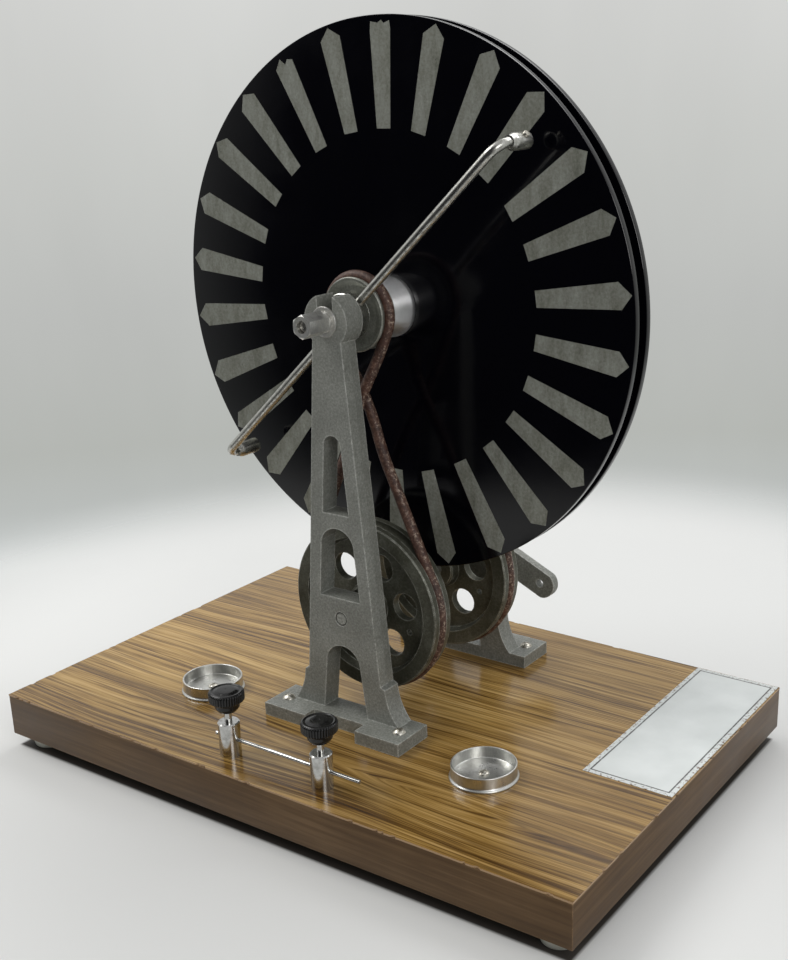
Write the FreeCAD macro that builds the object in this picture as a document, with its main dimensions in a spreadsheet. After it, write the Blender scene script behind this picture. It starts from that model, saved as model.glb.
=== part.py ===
"""Wimshurst machine for the school bench: two counter-turning sector discs on one spindle,
held by two cast uprights on a wooden base, and driven from a cranked shaft by a crossed
and an open round leather belt.

Millimetres, +Z up. The origin is the centre of the base's outline, on the plane that the feet
stand on. X runs along the board, Y runs along the spindle from the front upright to the back one.
"""
import FreeCAD, Part

import math
import os
from types import SimpleNamespace

import Sketcher
from FreeCAD import Placement, Rotation, Vector

doc = FreeCAD.newDocument("wimshurst_machine")


class Size:
    """A number together with the spreadsheet formula that it comes from."""

    def __init__(self, number, formula):
        self.number = float(number)
        self.formula = formula

    def __add__(self, other):
        other = as_size(other)
        return Size(self.number + other.number, f"({self.formula} + {other.formula})")

    def __radd__(self, other):
        return as_size(other) + self

    def __sub__(self, other):
        other = as_size(other)
        return Size(self.number - other.number, f"({self.formula} - {other.formula})")

    def __rsub__(self, other):
        return as_size(other) - self

    def __mul__(self, other):
        other = as_size(other)
        return Size(self.number * other.number, f"({self.formula} * {other.formula})")

    def __rmul__(self, other):
        return self * other

    def __truediv__(self, other):
        other = as_size(other)
        return Size(self.number / other.number, f"({self.formula} / {other.formula})")

    def __neg__(self):
        return self * -1


def as_size(value):
    """Plain numbers become sizes too, so that both can stand in one formula."""
    return value if isinstance(value, Size) else Size(value, f"({value})")


# Driving dimensions

DIMENSIONS = (
    ("base_length", 390), ("base_width", 250), ("board_thickness", 25), ("laminate_thickness", 1),
    ("foot_height", 8), ("foot_radius", 11), ("foot_inset", 15),
    ("machine_x", 3), ("machine_y", 16), ("axle_height", 231), ("shaft_height", 65),
    ("disc_radius", 150), ("disc_bore_radius", 10), ("disc_inner", 4), ("disc_outer", 8),
    ("sector_count", 26), ("sector_inner", 93.5), ("sector_shoulder", 142.3), ("sector_tip", 148.3),
    ("sector_root_width", 8.8), ("sector_wide_width", 13.4), ("foil_thickness", 0.15),
    ("spindle_radius", 5), ("spindle_thread_radius", 3.2), ("running_clearance", 0.05),
    ("bush_radius", 7), ("hub_radius", 17), ("hub_neck_radius", 11.5), ("hub_tail_radius", 9),
    ("belt_plane", 35.5), ("belt_radius", 3), ("groove_radius", 3.5),
    ("small_pitch_radius", 20), ("small_pulley_width", 12),
    ("large_pitch_radius", 48), ("large_flange_radius", 49.5), ("large_pulley_width", 15),
    ("rim_inner_radius", 41), ("web_thickness", 5), ("boss_radius", 12), ("boss_width", 17),
    ("web_hole_radius", 8), ("web_hole_pitch_radius", 25.5), ("web_hole_count", 6),
    ("upright_inner", 51.5), ("upright_thickness", 12), ("casting_draft", 4),
    ("head_radius", 14), ("head_step", 1.5), ("pad_outer", 78.5), ("pad_length", 30),
    ("pad_height", 7.7), ("upright_foot_length", 96), ("bar_recess", 8.5),
    ("pad_screw_x", 40), ("pad_screw_y", 66.5), ("screw_radius", 2), ("screw_head_radius", 3.8),
    ("shaft_radius", 4), ("shaft_end", 90), ("crank_inner", 80), ("crank_thickness", 6),
    ("crank_width", 17), ("crank_throw", 46), ("handle_hole_radius", 2.5),
    ("crank_angle", 24.6), ("nut_flats", 11),
    ("neutraliser_plane", 45.7), ("neutraliser_reach", 131), ("neutraliser_angle", 47),
    ("arm_radius", 2.5), ("arm_bend", 9), ("arm_root", 7.5), ("collar_radius", 12.5),
    ("collar_width", 7), ("holder_radius", 4.3), ("holder_front", 21), ("holder_bore", 2.4),
    ("cup_x", 98), ("cup_y", 70), ("cup_height", 8), ("cup_radius", 17.7), ("cup_foot_radius", 18.7),
    ("cup_wall", 1.1), ("cup_floor", 1.6),
    ("post_x", 32.5), ("post_y", 123), ("post_height", 20), ("post_radius", 6),
    ("link_height", 10.2), ("link_radius", 1.1), ("link_length", 100), ("link_start", 42.3),
    ("stem_radius", 2), ("knob_bottom", 26.5), ("knob_radius", 9.7), ("knob_height", 12.5),
    ("skirt_radius", 6.8), ("knob_flutes", 24),
)


def make_sheet(rows):
    """Write every driving dimension to the spreadsheet and return them as named sizes."""
    sheet = doc.addObject("Spreadsheet::Sheet", "Sizes")
    named = {}
    for number, (alias, value) in enumerate(rows, start=1):
        sheet.set(f"A{number}", alias)
        sheet.set(f"B{number}", str(value))
        sheet.setAlias(f"B{number}", alias)
        named[alias] = Size(value, f"Sizes.{alias}")
    doc.recompute()
    return SimpleNamespace(**named)


D = make_sheet(DIMENSIONS)

base_top = D.foot_height + D.board_thickness + D.laminate_thickness
axle_z = base_top + D.axle_height
shaft_z = base_top + D.shaft_height
upright_outer = D.upright_inner + D.upright_thickness
upright_middle = D.upright_inner + D.upright_thickness / 2
spindle_centre = (D.machine_x, D.machine_y, axle_z)
shaft_centre = (D.machine_x, D.machine_y, shaft_z)
sub_parts = []


# Shared ways of making a piece

def bind(item, name, size):
    """Tie one property of an object to its spreadsheet formula."""
    item.setExpression(name, as_size(size).formula)


def place(item, position, turn=Rotation()):
    """Put a finished piece where it belongs, with its position tied to the sheet."""
    base = [as_size(value) for value in position]
    item.Placement = Placement(Vector(*[value.number for value in base]), turn)
    for letter, value in zip("xyz", base):
        bind(item, f"Placement.Base.{letter}", value)


def new_body(label):
    body = doc.addObject("PartDesign::Body", label)
    body.Label = label
    body.AllowCompound = True
    sub_parts.append(body)
    return body


def new_sketch(body, role, offset=0):
    """A sketch on one of the body's own origin planes, moved along that plane's normal."""
    plane = next(item for item in body.Origin.OriginFeatures if item.Role == role)
    sketch = body.newObject("Sketcher::SketchObject", body.Name + "_sketch")
    sketch.AttachmentSupport = [(plane, "")]
    sketch.MapMode = "FlatFace"
    offset = as_size(offset)
    sketch.AttachmentOffset = Placement(Vector(0, 0, offset.number), Rotation())
    bind(sketch, "AttachmentOffset.Base.z", offset)
    return sketch


def pin(sketch, edge, end, x, y):
    """Fix one point of a sketch by its two coordinates."""
    for kind, value, axis in (("DistanceX", x, -2), ("DistanceY", y, -1)):
        if value.number == 0:
            sketch.addConstraint(Sketcher.Constraint("PointOnObject", edge, end, axis))
            continue
        index = sketch.addConstraint(Sketcher.Constraint(kind, edge, end, value.number))
        bind(sketch, f"Constraints[{index}]", value)


def arc_between(start, end, radius, side):
    """The short arc of a radius from start to end; side 1 bulges left of the way, -1 right."""
    chord = end - start
    rise = math.sqrt(radius ** 2 - chord.Length ** 2 / 4)
    normal = Vector(-chord.y, chord.x, 0).normalize()
    centre = (start + end) / 2 - normal * rise * side
    first, last = (start, end) if side < 0 else (end, start)
    angles = [math.atan2(point.y - centre.y, point.x - centre.x) for point in (first, last)]
    return Part.ArcOfCircle(Part.Circle(centre, Vector(0, 0, 1), radius), *angles)


def outline(sketch, corners, arcs=None):
    """Closed outline through the corners. arcs gives, for the edge that starts at a corner,
    its radius and the side that it bulges to."""
    arcs = arcs or {}
    points = [(as_size(x), as_size(y)) for x, y in corners]
    first = sketch.GeometryCount
    ends = []
    for index, (x, y) in enumerate(points):
        next_x, next_y = points[(index + 1) % len(points)]
        start = Vector(x.number, y.number, 0)
        end = Vector(next_x.number, next_y.number, 0)
        if index in arcs:
            radius, side = as_size(arcs[index][0]), arcs[index][1]
            edge = sketch.addGeometry(arc_between(start, end, radius.number, side), False)
            index_of = sketch.addConstraint(Sketcher.Constraint("Radius", edge, radius.number))
            bind(sketch, f"Constraints[{index_of}]", radius)
            ends.append((1, 2) if side < 0 else (2, 1))
        else:
            sketch.addGeometry(Part.LineSegment(start, end), False)
            ends.append((1, 2))
    for index, (x, y) in enumerate(points):
        following = (index + 1) % len(points)
        sketch.addConstraint(Sketcher.Constraint(
            "Coincident", first + index, ends[index][1], first + following, ends[following][0]))
        pin(sketch, first + index, ends[index][0], x, y)


def circle(sketch, x, y, radius):
    x, y, radius = as_size(x), as_size(y), as_size(radius)
    ring = Part.Circle(Vector(x.number, y.number, 0), Vector(0, 0, 1), radius.number)
    edge = sketch.addGeometry(ring, False)
    index = sketch.addConstraint(Sketcher.Constraint("Radius", edge, radius.number))
    bind(sketch, f"Constraints[{index}]", radius)
    pin(sketch, edge, 3, x, y)


def pad(body, sketch, length, length_back=None, draft=None):
    """Extrude a sketch along its normal, and also backwards where a second length is given."""
    feature = body.newObject("PartDesign::Pad", body.Name + "_pad")
    feature.Profile = sketch
    bind(feature, "Length", length)
    if length_back is not None:
        feature.SideType = "Two sides"
        bind(feature, "Length2", length_back)
    if draft is not None:
        bind(feature, "TaperAngle", -draft)
        bind(feature, "TaperAngle2", -draft)
    sketch.Visibility = False
    return feature


def cut_through(body, sketch, reach=400):
    """Cut a sketch through the body both ways, and make sure that it removed something."""
    doc.recompute()
    before = body.Shape.Volume
    feature = body.newObject("PartDesign::Pocket", body.Name + "_cut")
    feature.Profile = sketch
    feature.SideType = "Symmetric"
    bind(feature, "Length", reach)
    doc.recompute()
    if body.Shape.Volume > before - 1e-3:
        raise RuntimeError(f"{body.Label}: a cut removed nothing")
    return feature


def turned(label, profile, position, arcs=None, turn=Rotation(), axis="Y"):
    """A piece turned on a lathe: profile points are (radius, distance along the axis)."""
    body = new_body(label)
    sketch = new_sketch(body, "XY_Plane" if axis == "Y" else "XZ_Plane")
    outline(sketch, profile, arcs)
    feature = body.newObject("PartDesign::Revolution", label + "_turning")
    feature.Profile = sketch
    feature.ReferenceAxis = (sketch, ["V_Axis"])
    feature.Angle = 360
    place(body, position, turn)
    return body


def tube_profile(inner, outer, start, end):
    return [(inner, start), (outer, start), (outer, end), (inner, end)]


def cut_groove(body, pitch_radius, groove_radius, plane):
    """The round groove that a belt lies in."""
    doc.recompute()
    before = body.Shape.Volume
    sketch = new_sketch(body, "XY_Plane")
    circle(sketch, pitch_radius, plane, groove_radius)
    feature = body.newObject("PartDesign::Groove", body.Label + "_groove")
    feature.Profile = sketch
    feature.ReferenceAxis = (sketch, ["V_Axis"])
    feature.Angle = 360
    doc.recompute()
    if body.Shape.Volume > before - 1:
        raise RuntimeError(f"{body.Label}: the groove removed nothing")


def pattern(body, feature, count, role="Y_Axis"):
    """Repeat a feature in equal steps round one of the body's own axes."""
    axis = next(item for item in body.Origin.OriginFeatures if item.Role == role)
    copies = body.newObject("PartDesign::PolarPattern", body.Name + "_pattern")
    copies.Originals = [feature]
    copies.Axis = (axis, [""])
    copies.Angle = 360
    bind(copies, "Occurrences", count)
    body.Tip = copies


def group(label, shapes):
    """Like fasteners that share one name, as separate solids."""
    item = doc.addObject("Part::Feature", label)
    item.Label = label
    item.Shape = Part.makeCompound(shapes)
    sub_parts.append(item)
    return item


def number_of(*sizes):
    return [as_size(size).number for size in sizes]


# Base: a chipboard slab with a glossy wood-grain laminate on top, on four round feet

def fastener_holes(sketch):
    """Pilot holes for what is screwed down on the board."""
    clear = D.screw_radius + D.running_clearance
    for side in (-1, 1):
        for end in (-1, 1):
            circle(sketch, D.machine_x + end * D.pad_screw_x, D.machine_y + side * D.pad_screw_y, clear)
        circle(sketch, D.machine_x + side * D.cup_x, D.machine_y - D.cup_y, clear)
        circle(sketch, D.machine_x + side * D.post_x, D.machine_y - D.post_y, clear)


def board(label, thickness, height):
    body = new_body(label)
    sketch = new_sketch(body, "XY_Plane")
    half_length, half_width = D.base_length / 2, D.base_width / 2
    outline(sketch, [(-half_length, -half_width), (half_length, -half_width),
                     (half_length, half_width), (-half_length, half_width)])
    pad(body, sketch, thickness)
    holes = new_sketch(body, "XY_Plane")
    fastener_holes(holes)
    cut_through(body, holes)
    place(body, (0, 0, height))
    return body


base_board = board("base_board", D.board_thickness, D.foot_height)
foot_x = D.base_length / 2 - D.foot_inset
foot_y = D.base_width / 2 - D.foot_inset
foot_pilots = new_sketch(base_board, "XY_Plane")
for x_side in (-1, 1):
    for y_side in (-1, 1):
        circle(foot_pilots, x_side * foot_x, y_side * foot_y, D.screw_radius + D.running_clearance)
cut_through(base_board, foot_pilots, 24)
board("top_laminate", D.laminate_thickness, D.foot_height + D.board_thickness)

foot_profile = [
    (D.screw_radius + D.running_clearance, D.foot_height), (D.foot_radius, D.foot_height),
    (D.foot_radius - 1.5, 0), (D.screw_head_radius + 0.5, 0), (D.screw_head_radius + 0.5, 4),
    (D.screw_radius + D.running_clearance, 4)]
for y_name, y_side in (("front", -1), ("back", 1)):
    for x_name, x_side in (("left", -1), ("right", 1)):
        turned(f"foot_{y_name}_{x_name}", foot_profile, (x_side * foot_x, y_side * foot_y, 0), axis="Z")


def screw(head_radius, head_height, shank_radius, shank_length, dome=True):
    """A round-head or cheese-head screw, head up, with the underside of its head at zero."""
    shank = Part.makeCylinder(shank_radius, shank_length, Vector(0, 0, -shank_length))
    head = Part.makeCylinder(head_radius, head_height)
    if dome:
        head = Part.makeSphere(head_radius * 1.15, Vector(0, 0, head_height - head_radius * 1.15))
        head = head.common(Part.makeCylinder(head_radius, head_height))
    slot = Part.makeBox(2 * head_radius + 1, 0.9, 1, Vector(-head_radius - 0.5, -0.45, head_height - 0.9))
    return head.cut(slot).fuse(shank)


def screws_at(label, places, shape, turn=Rotation()):
    copies = []
    for position in places:
        copy = shape.copy()
        copy.Placement = Placement(Vector(*number_of(*position)), turn)
        copies.append(copy)
    return group(label, copies)


head_radius, shank_radius = number_of(D.screw_head_radius, D.screw_radius)
screws_at("foot_screws",
          [(x_side * foot_x, y_side * foot_y, 4) for x_side in (-1, 1) for y_side in (-1, 1)],
          screw(head_radius, 2.2, shank_radius, 14), Rotation(Vector(1, 0, 0), 180))


# Uprights: one cast pattern used twice, the back one turned half round

def upright(label, side):
    """A tapered open frame with draft from a parting line at mid thickness, a slotted round head
    for the spindle, a solid web for the drive shaft and a foot with two screw pads."""
    body = new_body(label)
    half = D.upright_thickness / 2
    step_height, step_width = 30, 26
    flare_width, flare_top_width = 37.5, 29
    plate = new_sketch(body, "XZ_Plane")
    outline(plate, [
        (-9, D.axle_height), (-step_width, step_height), (-flare_top_width, step_height - 1.5),
        (-flare_width, D.pad_height), (-flare_width, 3), (flare_width, 3),
        (flare_width, D.pad_height), (flare_top_width, step_height - 1.5),
        (step_width, step_height), (9, D.axle_height)],
        {2: (34, 1), 6: (34, 1)})
    pad(body, plate, half, half, D.casting_draft)

    head = new_sketch(body, "XZ_Plane")
    circle(head, 0, D.axle_height, D.head_radius)
    pad(body, head, half, half + D.head_step)

    foot = new_sketch(body, "XY_Plane")
    end, pad_in = D.upright_foot_length / 2, D.upright_foot_length / 2 - D.pad_length
    front = upright_middle - D.pad_outer
    bar = front + D.bar_recess
    outline(foot, [(-end, front), (-pad_in, front), (-pad_in, bar), (pad_in, bar), (pad_in, front),
                   (end, front), (end, half), (-end, half)])
    pad(body, foot, D.pad_height)

    openings = new_sketch(body, "XZ_Plane")
    outline(openings, [(-9, 126.2), (9, 126.2), (5.6, 166), (-5.6, 166)], {2: (5.9, -1)})
    outline(openings, [(-14, 77.2), (14, 77.2), (11, 110), (-11, 110)], {2: (11.6, -1)})
    outline(openings, [(-15.5, D.pad_height), (15.5, D.pad_height), (11.5, 40), (-11.5, 40)],
            {2: (12, -1)})
    cut_through(body, openings)

    slot = new_sketch(body, "XZ_Plane")
    slot_radius = D.spindle_radius + D.running_clearance
    outline(slot, [(-slot_radius, D.axle_height), (slot_radius, D.axle_height),
                   (slot_radius, D.axle_height + 20), (-slot_radius, D.axle_height + 20)])
    cut_through(body, slot)
    bores = new_sketch(body, "XZ_Plane")
    circle(bores, 0, D.axle_height, slot_radius)
    circle(bores, 0, D.shaft_height, D.shaft_radius + D.running_clearance)
    cut_through(body, bores)
    screw_holes = new_sketch(body, "XY_Plane")
    for end_side in (-1, 1):
        circle(screw_holes, end_side * D.pad_screw_x, upright_middle - D.pad_screw_y,
               D.screw_radius + D.running_clearance)
    cut_through(body, screw_holes, 2 * (D.pad_height + 1))

    turn = Rotation(Vector(0, 0, 1), 0 if side < 0 else 180)
    place(body, (D.machine_x, D.machine_y + side * upright_middle, base_top), turn)


upright("front_upright", -1)
upright("back_upright", 1)
screws_at("upright_screws",
          [(D.machine_x + x_side * D.pad_screw_x, D.machine_y + y_side * D.pad_screw_y,
            base_top + D.pad_height) for x_side in (-1, 1) for y_side in (-1, 1)],
          screw(head_radius, 2.3, shank_radius, 20), Rotation(Vector(0, 0, 1), 30))


# Spindle: a fixed steel bar clamped in the slots of both heads by washers and long nuts

thread_start = upright_outer - 1
spindle_end = 80
nut_end = 82
turned("spindle", [
    (0, -spindle_end), (D.spindle_thread_radius - 0.6, -spindle_end),
    (D.spindle_thread_radius, -spindle_end + 0.8), (D.spindle_thread_radius, -thread_start),
    (D.spindle_radius, -thread_start), (D.spindle_radius, thread_start),
    (D.spindle_thread_radius, thread_start), (D.spindle_thread_radius, spindle_end - 0.8),
    (D.spindle_thread_radius - 0.6, spindle_end), (0, spindle_end)], spindle_centre)

washer_thickness = 1.5
spring_thickness = 1.8
head_face, thread_radius = number_of(upright_outer, D.spindle_thread_radius)


def ring(inner, outer, start, thickness):
    """A flat ring round the spindle, starting at a distance along Y."""
    outside = Part.makeCylinder(outer, thickness, Vector(0, start, 0), Vector(0, 1, 0))
    return outside.cut(Part.makeCylinder(inner, thickness, Vector(0, start, 0), Vector(0, 1, 0)))


def both_ends(shape):
    """The piece at the back end and its twin at the front end, moved to the spindle."""
    twin = shape.mirror(Vector(0, 0, 0), Vector(0, 1, 0))
    for item in (shape, twin):
        item.translate(Vector(*number_of(*spindle_centre)))
    return [shape, twin]


group("spindle_washers", both_ends(ring(thread_radius + 0.1, 8, head_face, washer_thickness)))
spring_start = head_face + washer_thickness
spring = ring(thread_radius + 0.15, 5.6, spring_start, spring_thickness)
spring_gap = Part.makeBox(0.8, spring_thickness, 4, Vector(-0.4, spring_start, 2.5))
group("spring_washers", both_ends(spring.cut(spring_gap)))


def hexagon(sketch, flats, bore):
    """A nut's section with two corners up and down."""
    corner = flats / math.sqrt(3)
    outline(sketch, [(corner * math.sin(step * math.pi / 3), corner * math.cos(step * math.pi / 3))
                     for step in range(6)])
    circle(sketch, 0, 0, bore)


def nut(label, centre, start, end, bore, side=1):
    """A hexagon nut along Y, with its outer corners turned off."""
    body = new_body(label)
    section = new_sketch(body, "XZ_Plane", -side * start)
    hexagon(section, D.nut_flats, bore)
    blank = pad(body, section, end - start)
    blank.Reversed = side > 0
    doc.recompute()
    corners = new_sketch(body, "XY_Plane")
    face = side * end
    outline(corners, [(D.nut_flats / 2, face), (D.nut_flats, face - side * 3), (D.nut_flats, face)])
    chamfer = body.newObject("PartDesign::Groove", label + "_chamfer")
    chamfer.Profile = corners
    chamfer.ReferenceAxis = (corners, ["V_Axis"])
    chamfer.Angle = 360
    place(body, centre)


nut_start = upright_outer + washer_thickness + spring_thickness
for end_name, side in (("front", -1), ("back", 1)):
    nut(f"{end_name}_spindle_nut", spindle_centre, nut_start, nut_end,
        D.spindle_thread_radius + D.running_clearance, side)

spacer_half = 0.9
turned("disc_spacer", tube_profile(D.spindle_radius, 9, -spacer_half, spacer_half), spindle_centre)


# Discs: each is clamped on an aluminium hub that turns on a brass bush, with its own small pulley

ring_start = 1.3
pulley_end = D.belt_plane + D.small_pulley_width / 2
pulley_start = D.belt_plane - D.small_pulley_width / 2
bush_bore = D.spindle_radius + D.running_clearance


def along(side, points):
    """Profile points with their distance along the axis taken to one side of the machine."""
    return [(radius, side * as_size(distance)) for radius, distance in points]


def disc(label, side):
    rim = D.disc_radius
    turned(label, along(side, [
        (D.disc_bore_radius, D.disc_inner), (rim - 0.5, D.disc_inner), (rim, D.disc_inner + 0.5),
        (rim, D.disc_outer - 0.5), (rim - 0.5, D.disc_outer), (D.disc_bore_radius, D.disc_outer)]),
        spindle_centre)


def sectors(label, side):
    """Foil sectors like pointed paddles, stuck on the disc's outer face in equal steps."""
    body = new_body(label)
    plane = new_sketch(body, "XZ_Plane", -side * D.disc_outer)
    root, wide = D.sector_root_width / 2, D.sector_wide_width / 2
    outline(plane, [(-root, D.sector_inner), (root, D.sector_inner), (wide, D.sector_shoulder),
                    (0, D.sector_tip), (-wide, D.sector_shoulder)])
    foil = pad(body, plane, D.foil_thickness)
    foil.Reversed = side > 0
    pattern(body, foil, D.sector_count)
    place(body, spindle_centre)


def hub(label, side):
    """Flared polished hub: spigot through the disc, cone outside it and a tail for the pulley."""
    turned(label, along(side, [
        (D.bush_radius, 2), (D.disc_bore_radius, 2), (D.disc_bore_radius, D.disc_outer),
        (D.hub_radius - 0.6, D.disc_outer), (D.hub_radius, D.disc_outer + 0.6),
        (D.hub_radius, D.disc_outer + 3), (D.hub_neck_radius, pulley_start),
        (D.hub_tail_radius, pulley_start), (D.hub_tail_radius, pulley_end),
        (D.bush_radius, pulley_end)]), spindle_centre)


def small_pulley(label, side):
    """Grooved pulley with a dished front face."""
    flange, face = D.small_pitch_radius, pulley_end
    body = turned(label, along(side, [
        (D.hub_tail_radius, pulley_start), (flange - 0.4, pulley_start), (flange, pulley_start + 0.4),
        (flange, face - 0.4), (flange - 0.4, face), (flange - 1.6, face), (flange - 4.5, face - 1.4),
        (D.hub_tail_radius + 1.5, face - 1.4), (D.hub_tail_radius + 1.2, face),
        (D.hub_tail_radius, face)]), spindle_centre)
    cut_groove(body, D.small_pitch_radius, D.groove_radius, side * D.belt_plane)


for end_name, side in (("front", -1), ("back", 1)):
    disc(f"{end_name}_disc", side)
    sectors(f"{end_name}_sectors", side)
    hub(f"{end_name}_hub", side)
    turned(f"{end_name}_disc_ring", along(side, tube_profile(
        D.disc_bore_radius, 14, ring_start, D.disc_inner)), spindle_centre)
    turned(f"{end_name}_bush", along(side, tube_profile(
        bush_bore, D.bush_radius, ring_start, pulley_end)), spindle_centre)
    small_pulley(f"{end_name}_small_pulley", side)


# Neutralisers: a collar on the spindle with two bent arms that each carry a brush holder

def neutraliser_turn(side):
    """The arms lie along the collar's own Z, which leans over so that the two pairs cross."""
    return Rotation(Vector(0, 1, 0), -side * D.neutraliser_angle.number)


def neutraliser_collar(label, side):
    half = D.collar_width / 2
    body = turned(label, along(side, [
        (bush_bore, D.neutraliser_plane - half), (D.collar_radius - 0.5, D.neutraliser_plane - half),
        (D.collar_radius, D.neutraliser_plane - half + 0.5),
        (D.collar_radius, D.neutraliser_plane + half - 0.5),
        (D.collar_radius - 0.5, D.neutraliser_plane + half),
        (bush_bore, D.neutraliser_plane + half)]), spindle_centre, turn=neutraliser_turn(side))
    holes = new_sketch(body, "XY_Plane")
    circle(holes, 0, side * D.neutraliser_plane, D.arm_radius)
    cut_through(body, holes)


def neutraliser_arm(label, side, end):
    """A rod along the collar's Z, bent at its end towards the disc."""
    plane, root, reach, bend, radius = number_of(
        side * D.neutraliser_plane, D.arm_root, D.neutraliser_reach, D.arm_bend, D.arm_radius)
    start = Vector(0, plane, end * root)
    bend_start = Vector(0, plane, end * (reach - bend))
    bend_end = Vector(0, plane - side * bend, end * reach)
    centre = Vector(0, plane - side * bend, end * (reach - bend))
    middle = centre + Vector(0, side, end) * (bend / math.sqrt(2))
    tip = bend_end - Vector(0, side * 2.5, 0)
    path = Part.Wire([Part.LineSegment(start, bend_start).toShape(),
                      Part.Arc(bend_start, middle, bend_end).toShape(),
                      Part.LineSegment(bend_end, tip).toShape()])
    section = Part.Wire([Part.Circle(start, Vector(0, 0, 1), radius).toShape()])
    item = doc.addObject("Part::Feature", label)
    item.Label = label
    item.Shape = path.makePipeShell([section], True, False)
    sub_parts.append(item)
    place(item, spindle_centre, neutraliser_turn(side))


def brush_holders(label, side):
    """Two turned sockets: a cone that takes the arm's tip and a bore for the brush."""
    back, front, radius, bore, arm, reach = number_of(
        D.neutraliser_plane - D.arm_bend + 0.4, D.holder_front, D.holder_radius, D.holder_bore,
        D.arm_radius, D.neutraliser_reach)
    socket = back - 3
    seat = [(arm, back), (arm + 0.7, back), (radius, back - 3.2), (radius, front + 0.6),
            (radius - 0.6, front), (bore, front), (bore, front + 8), (0, front + 8), (0, socket),
            (arm, socket)]
    points = [Vector(across, side * distance, 0) for across, distance in seat]
    face = Part.Face(Part.makePolygon(points + points[:1]))
    turned_shape = face.revolve(Vector(0, 0, 0), Vector(0, 1, 0), 360)
    screw_y = side * (front + 6)
    solids = []
    for end in (-1, 1):
        holder = turned_shape.copy()
        hole = Part.makeCylinder(1.2, radius + 1, Vector(0, screw_y, 0), Vector(0, 0, end))
        holder = holder.cut(hole)
        holder.translate(Vector(0, 0, end * reach))
        solids.append(holder)
    item = group(label, solids)
    place(item, spindle_centre, neutraliser_turn(side))
    return screw_y, bore, radius, reach


def holder_screws(label, side, screw_y, bore, radius, reach):
    solids = []
    for end in (-1, 1):
        start = Vector(0, screw_y, end * (reach + bore))
        body = Part.makeCylinder(1.2, radius - bore + 0.3, start, Vector(0, 0, end))
        head = Part.makeCylinder(1.7, 1.4, Vector(0, screw_y, end * (reach + radius)), Vector(0, 0, end))
        solids.append(body.fuse(head))
    item = group(label, solids)
    place(item, spindle_centre, neutraliser_turn(side))


for end_name, side in (("front", -1), ("back", 1)):
    neutraliser_collar(f"{end_name}_neutraliser_collar", side)
    for arm_name, end in (("upper", 1), ("lower", -1)):
        neutraliser_arm(f"{end_name}_{arm_name}_arm", side, end)
    fit = brush_holders(f"{end_name}_brush_holders", side)
    holder_screws(f"{end_name}_holder_screws", side, *fit)


# Drive: a steel shaft through both uprights with two spoked-web pulleys and a crank

def large_pulley(label, side):
    """Cast belt pulley: grooved rim, recessed web with six round holes, long boss."""
    half, web, boss = D.large_pulley_width / 2, D.web_thickness / 2, D.boss_width / 2
    middle, flange = D.belt_plane, D.large_flange_radius
    body = turned(label, along(side, [
        (D.shaft_radius, middle - boss), (D.boss_radius - 1, middle - boss),
        (D.boss_radius, middle - boss + 1), (D.boss_radius + 1, middle - web),
        (D.rim_inner_radius - 1.5, middle - web), (D.rim_inner_radius, middle - half),
        (flange - 0.6, middle - half), (flange, middle - half + 0.6),
        (flange, middle + half - 0.6), (flange - 0.6, middle + half),
        (D.rim_inner_radius, middle + half), (D.rim_inner_radius - 1.5, middle + web),
        (D.boss_radius + 1, middle + web), (D.boss_radius, middle + boss - 1),
        (D.boss_radius - 1, middle + boss), (D.shaft_radius, middle + boss)]),
        shaft_centre, turn=Rotation(Vector(0, 1, 0), 22))
    cut_groove(body, D.large_pitch_radius, D.groove_radius, side * middle)
    hole = new_sketch(body, "XZ_Plane")
    circle(hole, 0, D.web_hole_pitch_radius, D.web_hole_radius)
    window = cut_through(body, hole)
    pattern(body, window, D.web_hole_count)
    pin_hole = new_sketch(body, "XZ_Plane")
    circle(pin_hole, 30, 0, 1.6)
    cut_through(body, pin_hole)
    grub_hole = new_sketch(body, "YZ_Plane")
    circle(grub_hole, side * (middle - boss + 3.2), 0, 1.5)
    before = body.Shape.Volume
    bore = body.newObject("PartDesign::Pocket", label + "_grub_hole")
    bore.Profile = grub_hole
    bore.Reversed = True
    bind(bore, "Length", D.boss_radius)
    doc.recompute()
    if body.Shape.Volume > before - 1:
        raise RuntimeError(f"{label}: the grub screw's hole removed nothing")


crank_outer = D.crank_inner + D.crank_thickness
turned("drive_shaft", [
    (0, 0.2 - upright_outer), (D.shaft_radius - 0.3, 0.2 - upright_outer),
    (D.shaft_radius, 0.5 - upright_outer), (D.shaft_radius, crank_outer),
    (D.spindle_thread_radius, crank_outer), (D.spindle_thread_radius, D.shaft_end - 0.6),
    (D.spindle_thread_radius - 0.6, D.shaft_end), (0, D.shaft_end)], shaft_centre)
boss_end = D.belt_plane + D.boss_width / 2
for end_name, side in (("front", -1), ("back", 1)):
    large_pulley(f"{end_name}_large_pulley", side)
    turned(f"{end_name}_shaft_collar", along(side, tube_profile(
        D.shaft_radius, 8, boss_end, D.upright_inner - 0.3)), shaft_centre)

grub_plane, grub_start, grub_end = number_of(
    D.belt_plane - D.boss_width / 2 + 3.2, D.shaft_radius, D.boss_radius - 1.5)
grubs = [Part.makeCylinder(1.45, grub_end - grub_start, Vector(grub_start, side * grub_plane, 0),
                           Vector(1, 0, 0)) for side in (-1, 1)]
place(group("pulley_grub_screws", grubs), shaft_centre, Rotation(Vector(0, 1, 0), 22))

crank_turn = Rotation(Vector(0, 1, 0), D.crank_angle.number)
turned("crank_boss", [
    (D.shaft_radius, upright_outer + 0.5), (8, upright_outer + 0.5), (8, D.crank_inner - 3),
    (D.crank_width / 2, D.crank_inner), (D.shaft_radius, D.crank_inner)], shaft_centre, turn=crank_turn)

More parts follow.
